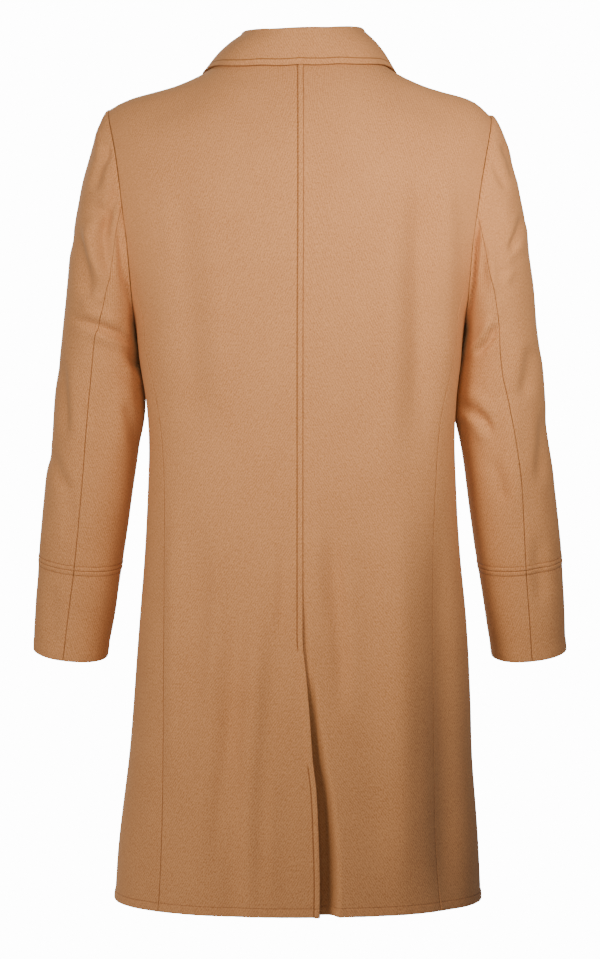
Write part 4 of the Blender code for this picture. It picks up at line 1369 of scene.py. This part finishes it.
def addSlit(builder, height):
    # painted shade: a thin closed lens along the cut, in a darkened copy of the wool, stands for the shadow
    # in the opening between the stitches
    length = buttonholes["to"] - buttonholes["from"]
    end, lift = buttonholes["slitEnd"], buttonholes["slitLift"]
    rings = []
    for index in range(buttonholes["slitSteps"] + 1):
        share = index / buttonholes["slitSteps"]
        out = buttonholes["from"] + length * (end + (1.0 - 2.0 * end) * share)
        half = buttonholes["slitHalfHeight"] * max(math.sin(share * math.pi), buttonholes["slitLeast"])
        crown, depth = buttonholes["slitCrown"], buttonholes["slitDepth"]
        corners = ((half, lift), (0.0, crown), (-half, lift), (0.0, -depth))
        rings.append([builder.verts.new(frontPoint(out, height + rise, up)[0]) for rise, up in corners])
    for here, there in zip(rings, rings[1:]):
        for index in range(4):
            after = (index + 1) % 4
            builder.faces.new((here[index], here[after], there[after], there[index]))
    builder.faces.new(rings[0])
    builder.faces.new(rings[-1])


def meshFrom(name, builder):
    mesh = bpy.data.meshes.new(name)
    builder.to_mesh(mesh)
    builder.free()
    return mesh


def plainPiece(name, mesh, material, slot, *nodes):
    mesh.materials.clear()
    mesh.materials.append(material)
    mesh.shade_smooth()
    declare(addObject(name, mesh), slot, *nodes)


def hornMaterial():
    # Buffalo horn, sawn and polished: brown with cloudy streaks and a soft shine.
    material, tree, shader = newMaterial("polishedHorn")
    place = addNode(tree, "ShaderNodeTexCoord")
    long = addNode(tree, "ShaderNodeMapping", {"Scale": (buttons["streakLength"], 1.0, 1.0)},
                   {"Vector": (place, "Object")})
    grain = addNode(tree, "ShaderNodeTexNoise", {
        "Scale": 1.0 / buttons["streak"], "Detail": 4.0, "Distortion": 1.2}, {"Vector": (long, "Vector")})
    ramp = colourRamp(tree, grain, "Fac", (buttons["darkUpTo"], hexColour(buttons["dark"])),
                      (buttons["lightFrom"], hexColour(buttons["light"])))
    tree.links.new(ramp.outputs["Color"], shader.inputs["Base Color"])
    setInputs(shader, {"Roughness": buttons["roughness"]})
    return material


def buttonMesh():
    # a turned button with four sewing holes, lying on the z axis
    builder = bmesh.new()
    profile = [builder.verts.new((radius, 0.0, height)) for radius, height in zip(*buttonProfile.values())]
    for here, there in zip(profile, profile[1:]):
        builder.edges.new((here, there))
    bmesh.ops.spin(builder, geom=builder.verts[:] + builder.edges[:], cent=(0.0, 0.0, 0.0),
                   axis=(0.0, 0.0, 1.0), angle=2.0 * math.pi, steps=buttons["steps"], use_duplicate=False)
    bmesh.ops.remove_doubles(builder, verts=builder.verts, dist=1e-6)
    bmesh.ops.recalc_face_normals(builder, faces=builder.faces)
    body = addObject("disc", meshFrom("disc", builder))
    drill = bmesh.new()
    out = buttons["holeOut"] * math.sqrt(2.0)
    for turn in (45.0, 135.0, 225.0, 315.0):
        made = bmesh.ops.create_cone(drill, cap_ends=True, segments=buttons["holeSteps"], depth=0.02,
                                     radius1=buttons["holeRadius"], radius2=buttons["holeRadius"])
        shift = (out * math.cos(math.radians(turn)), out * math.sin(math.radians(turn)), 0.0)
        bmesh.ops.translate(drill, verts=made["verts"], vec=shift)
    cutter = addObject("holes", meshFrom("holes", drill))
    cut = body.modifiers.new("holes", "BOOLEAN")
    cut.operation = "DIFFERENCE"
    cut.solver = "EXACT"
    cut.object = cutter
    bevel = body.modifiers.new("edges", "BEVEL")
    bevel.width = buttons["bevel"]
    bevel.segments = 2
    bevel.angle_limit = math.radians(buttons["bevelFrom"])
    mesh = bpy.data.meshes.new_from_object(body.evaluated_get(bpy.context.evaluated_depsgraph_get()))
    bpy.data.objects.remove(body)
    bpy.data.objects.remove(cutter)
    return mesh


sewStitches("buttonhole_stitches", [holePath(height) for height in buttons["heights"]], buttonholeStitch)
slits = bmesh.new()
for height in buttons["heights"]:
    addSlit(slits, height)
bmesh.ops.recalc_face_normals(slits, faces=slits.faces)
# painted shade: a darkened copy of the wool for the slits
slitShadeWool = camelWool("camelWoolSlitShade", woolLook, buttonholes["slitShadeBrightness"])
plainPiece("buttonhole_slit_shade", meshFrom("buttonhole_slit_shade", slits), slitShadeWool, "wool")

horn = hornMaterial()
pattern = buttonMesh()
barSize = Matrix.Diagonal((buttons["barLength"], buttons["barWidth"], buttons["barWidth"], 1.0))
for number, height in enumerate(buttons["heights"], 1):
    seat, normal = frontPoint(0.0, height, buttons["standOff"])
    place = Matrix.Translation(seat) @ Vector(normal).to_track_quat("Z", "Y").to_matrix().to_4x4()
    mesh = pattern.copy()
    mesh.transform(place)
    plainPiece(f"button_{number}_horn", mesh, horn, "button", f"button_{number}")
    bars = bmesh.new()
    for across in (-buttons["holeOut"], buttons["holeOut"]):
        spot = Matrix.Translation((0.0, across, buttons["barHeight"]))
        bmesh.ops.create_uvsphere(bars, u_segments=16, v_segments=8, radius=0.5,
                                  matrix=place @ spot @ barSize)
    name = f"button_{number}_thread"
    plainPiece(name, meshFrom(name, bars), thread, "wool")

print("stage: room")

room = {
    "floorHeight": -1.42,
    "floorRadius": 1.45,
    "floorColour": "#f4f3f1",
    "floorRoughness": 0.9,
    "skyColour": "#ccd9ff",
    "skyLight": 0.19,
    "skySeen": 14.0,          # white paper far behind, as the camera sees it
    "cameraPlace": (0.0, 2.7, -0.501),
    "lens": 84.45,
}

lights = {
    "keySoft": {
        "place": (1.35, 1.85, -0.05), "aim": (0.05, 0.0, -0.45), "size": 0.8, "power": 31.0,
        "colour": "#ffe9d2", "spread": 180.0,
    },
    "chestSoft": {
        "place": (0.0, 1.15, -0.15), "aim": (-0.02, 0.0, -0.30), "size": 0.5, "power": 1.6,
        "colour": "#ffe9d2", "spread": 90.0,
    },
    "shoulderSoft": {
        "place": (-0.7, 0.95, 0.12), "aim": (-0.23, 0.0, -0.16), "size": 0.5, "power": 2.2,
        "colour": "#ffe9d2", "spread": 66.0,
    },
    "frontSoft": {
        "place": (1.2, -2.4, 0.8), "aim": (0.0, 0.0, -0.501), "size": 1.6, "power": 40.0,
        "colour": "#ffffff", "spread": 180.0,
    },
}


def makeFloor():
    builder = bmesh.new()
    bmesh.ops.create_circle(builder, cap_ends=True, segments=128, radius=room["floorRadius"])
    bmesh.ops.translate(builder, verts=builder.verts, vec=(0.0, 0.0, room["floorHeight"]))
    floor = addObject("floor", meshFrom("floor", builder))
    paper, _, shader = newMaterial("paleStudioPaper")
    setInputs(shader, {"Base Color": hexColour(room["floorColour"]), "Roughness": room["floorRoughness"]})
    floor.data.materials.append(paper)


def makeSky():
    # a dim blue sky lights the coat, and the camera sees white
    world = bpy.data.worlds.new("studio")
    world.use_nodes = True
    tree = world.node_tree
    dim = tree.nodes["Background"]
    setInputs(dim, {"Color": hexColour(room["skyColour"]), "Strength": room["skyLight"]})
    bright = addNode(tree, "ShaderNodeBackground",
                     {"Color": (1.0, 1.0, 1.0, 1.0), "Strength": room["skySeen"]})
    ray = addNode(tree, "ShaderNodeLightPath")
    seen = addNode(tree, "ShaderNodeMixShader", None,
                   {"Fac": (ray, "Is Camera Ray"), 1: (dim, "Background"), 2: (bright, "Background")})
    tree.links.new(seen.outputs["Shader"], tree.nodes["World Output"].inputs["Surface"])
    bpy.context.scene.world = world


def makeLight(name, place, aim, size, power, colour, spread):
    data = bpy.data.lights.new(name, "AREA")
    data.shape = "DISK"
    data.size = size
    data.energy = power
    data.color = hexColour(colour)[:3]
    data.spread = math.radians(spread)
    light = addObject(name, data)
    light.location = place
    light.rotation_euler = (Vector(aim) - Vector(place)).to_track_quat("-Z", "Y").to_euler()


def makeCamera():
    data = bpy.data.cameras.new("camera")
    data.lens = room["lens"]
    data.sensor_width = 36.0
    data.sensor_fit = "AUTO"
    camera = addObject("camera", data)
    camera.location = room["cameraPlace"]
    camera.rotation_euler = (math.radians(90.0), 0.0, math.radians(180.0))
    bpy.context.scene.camera = camera


makeFloor()
makeSky()
for name, values in lights.items():
    makeLight(name, **values)
makeCamera()
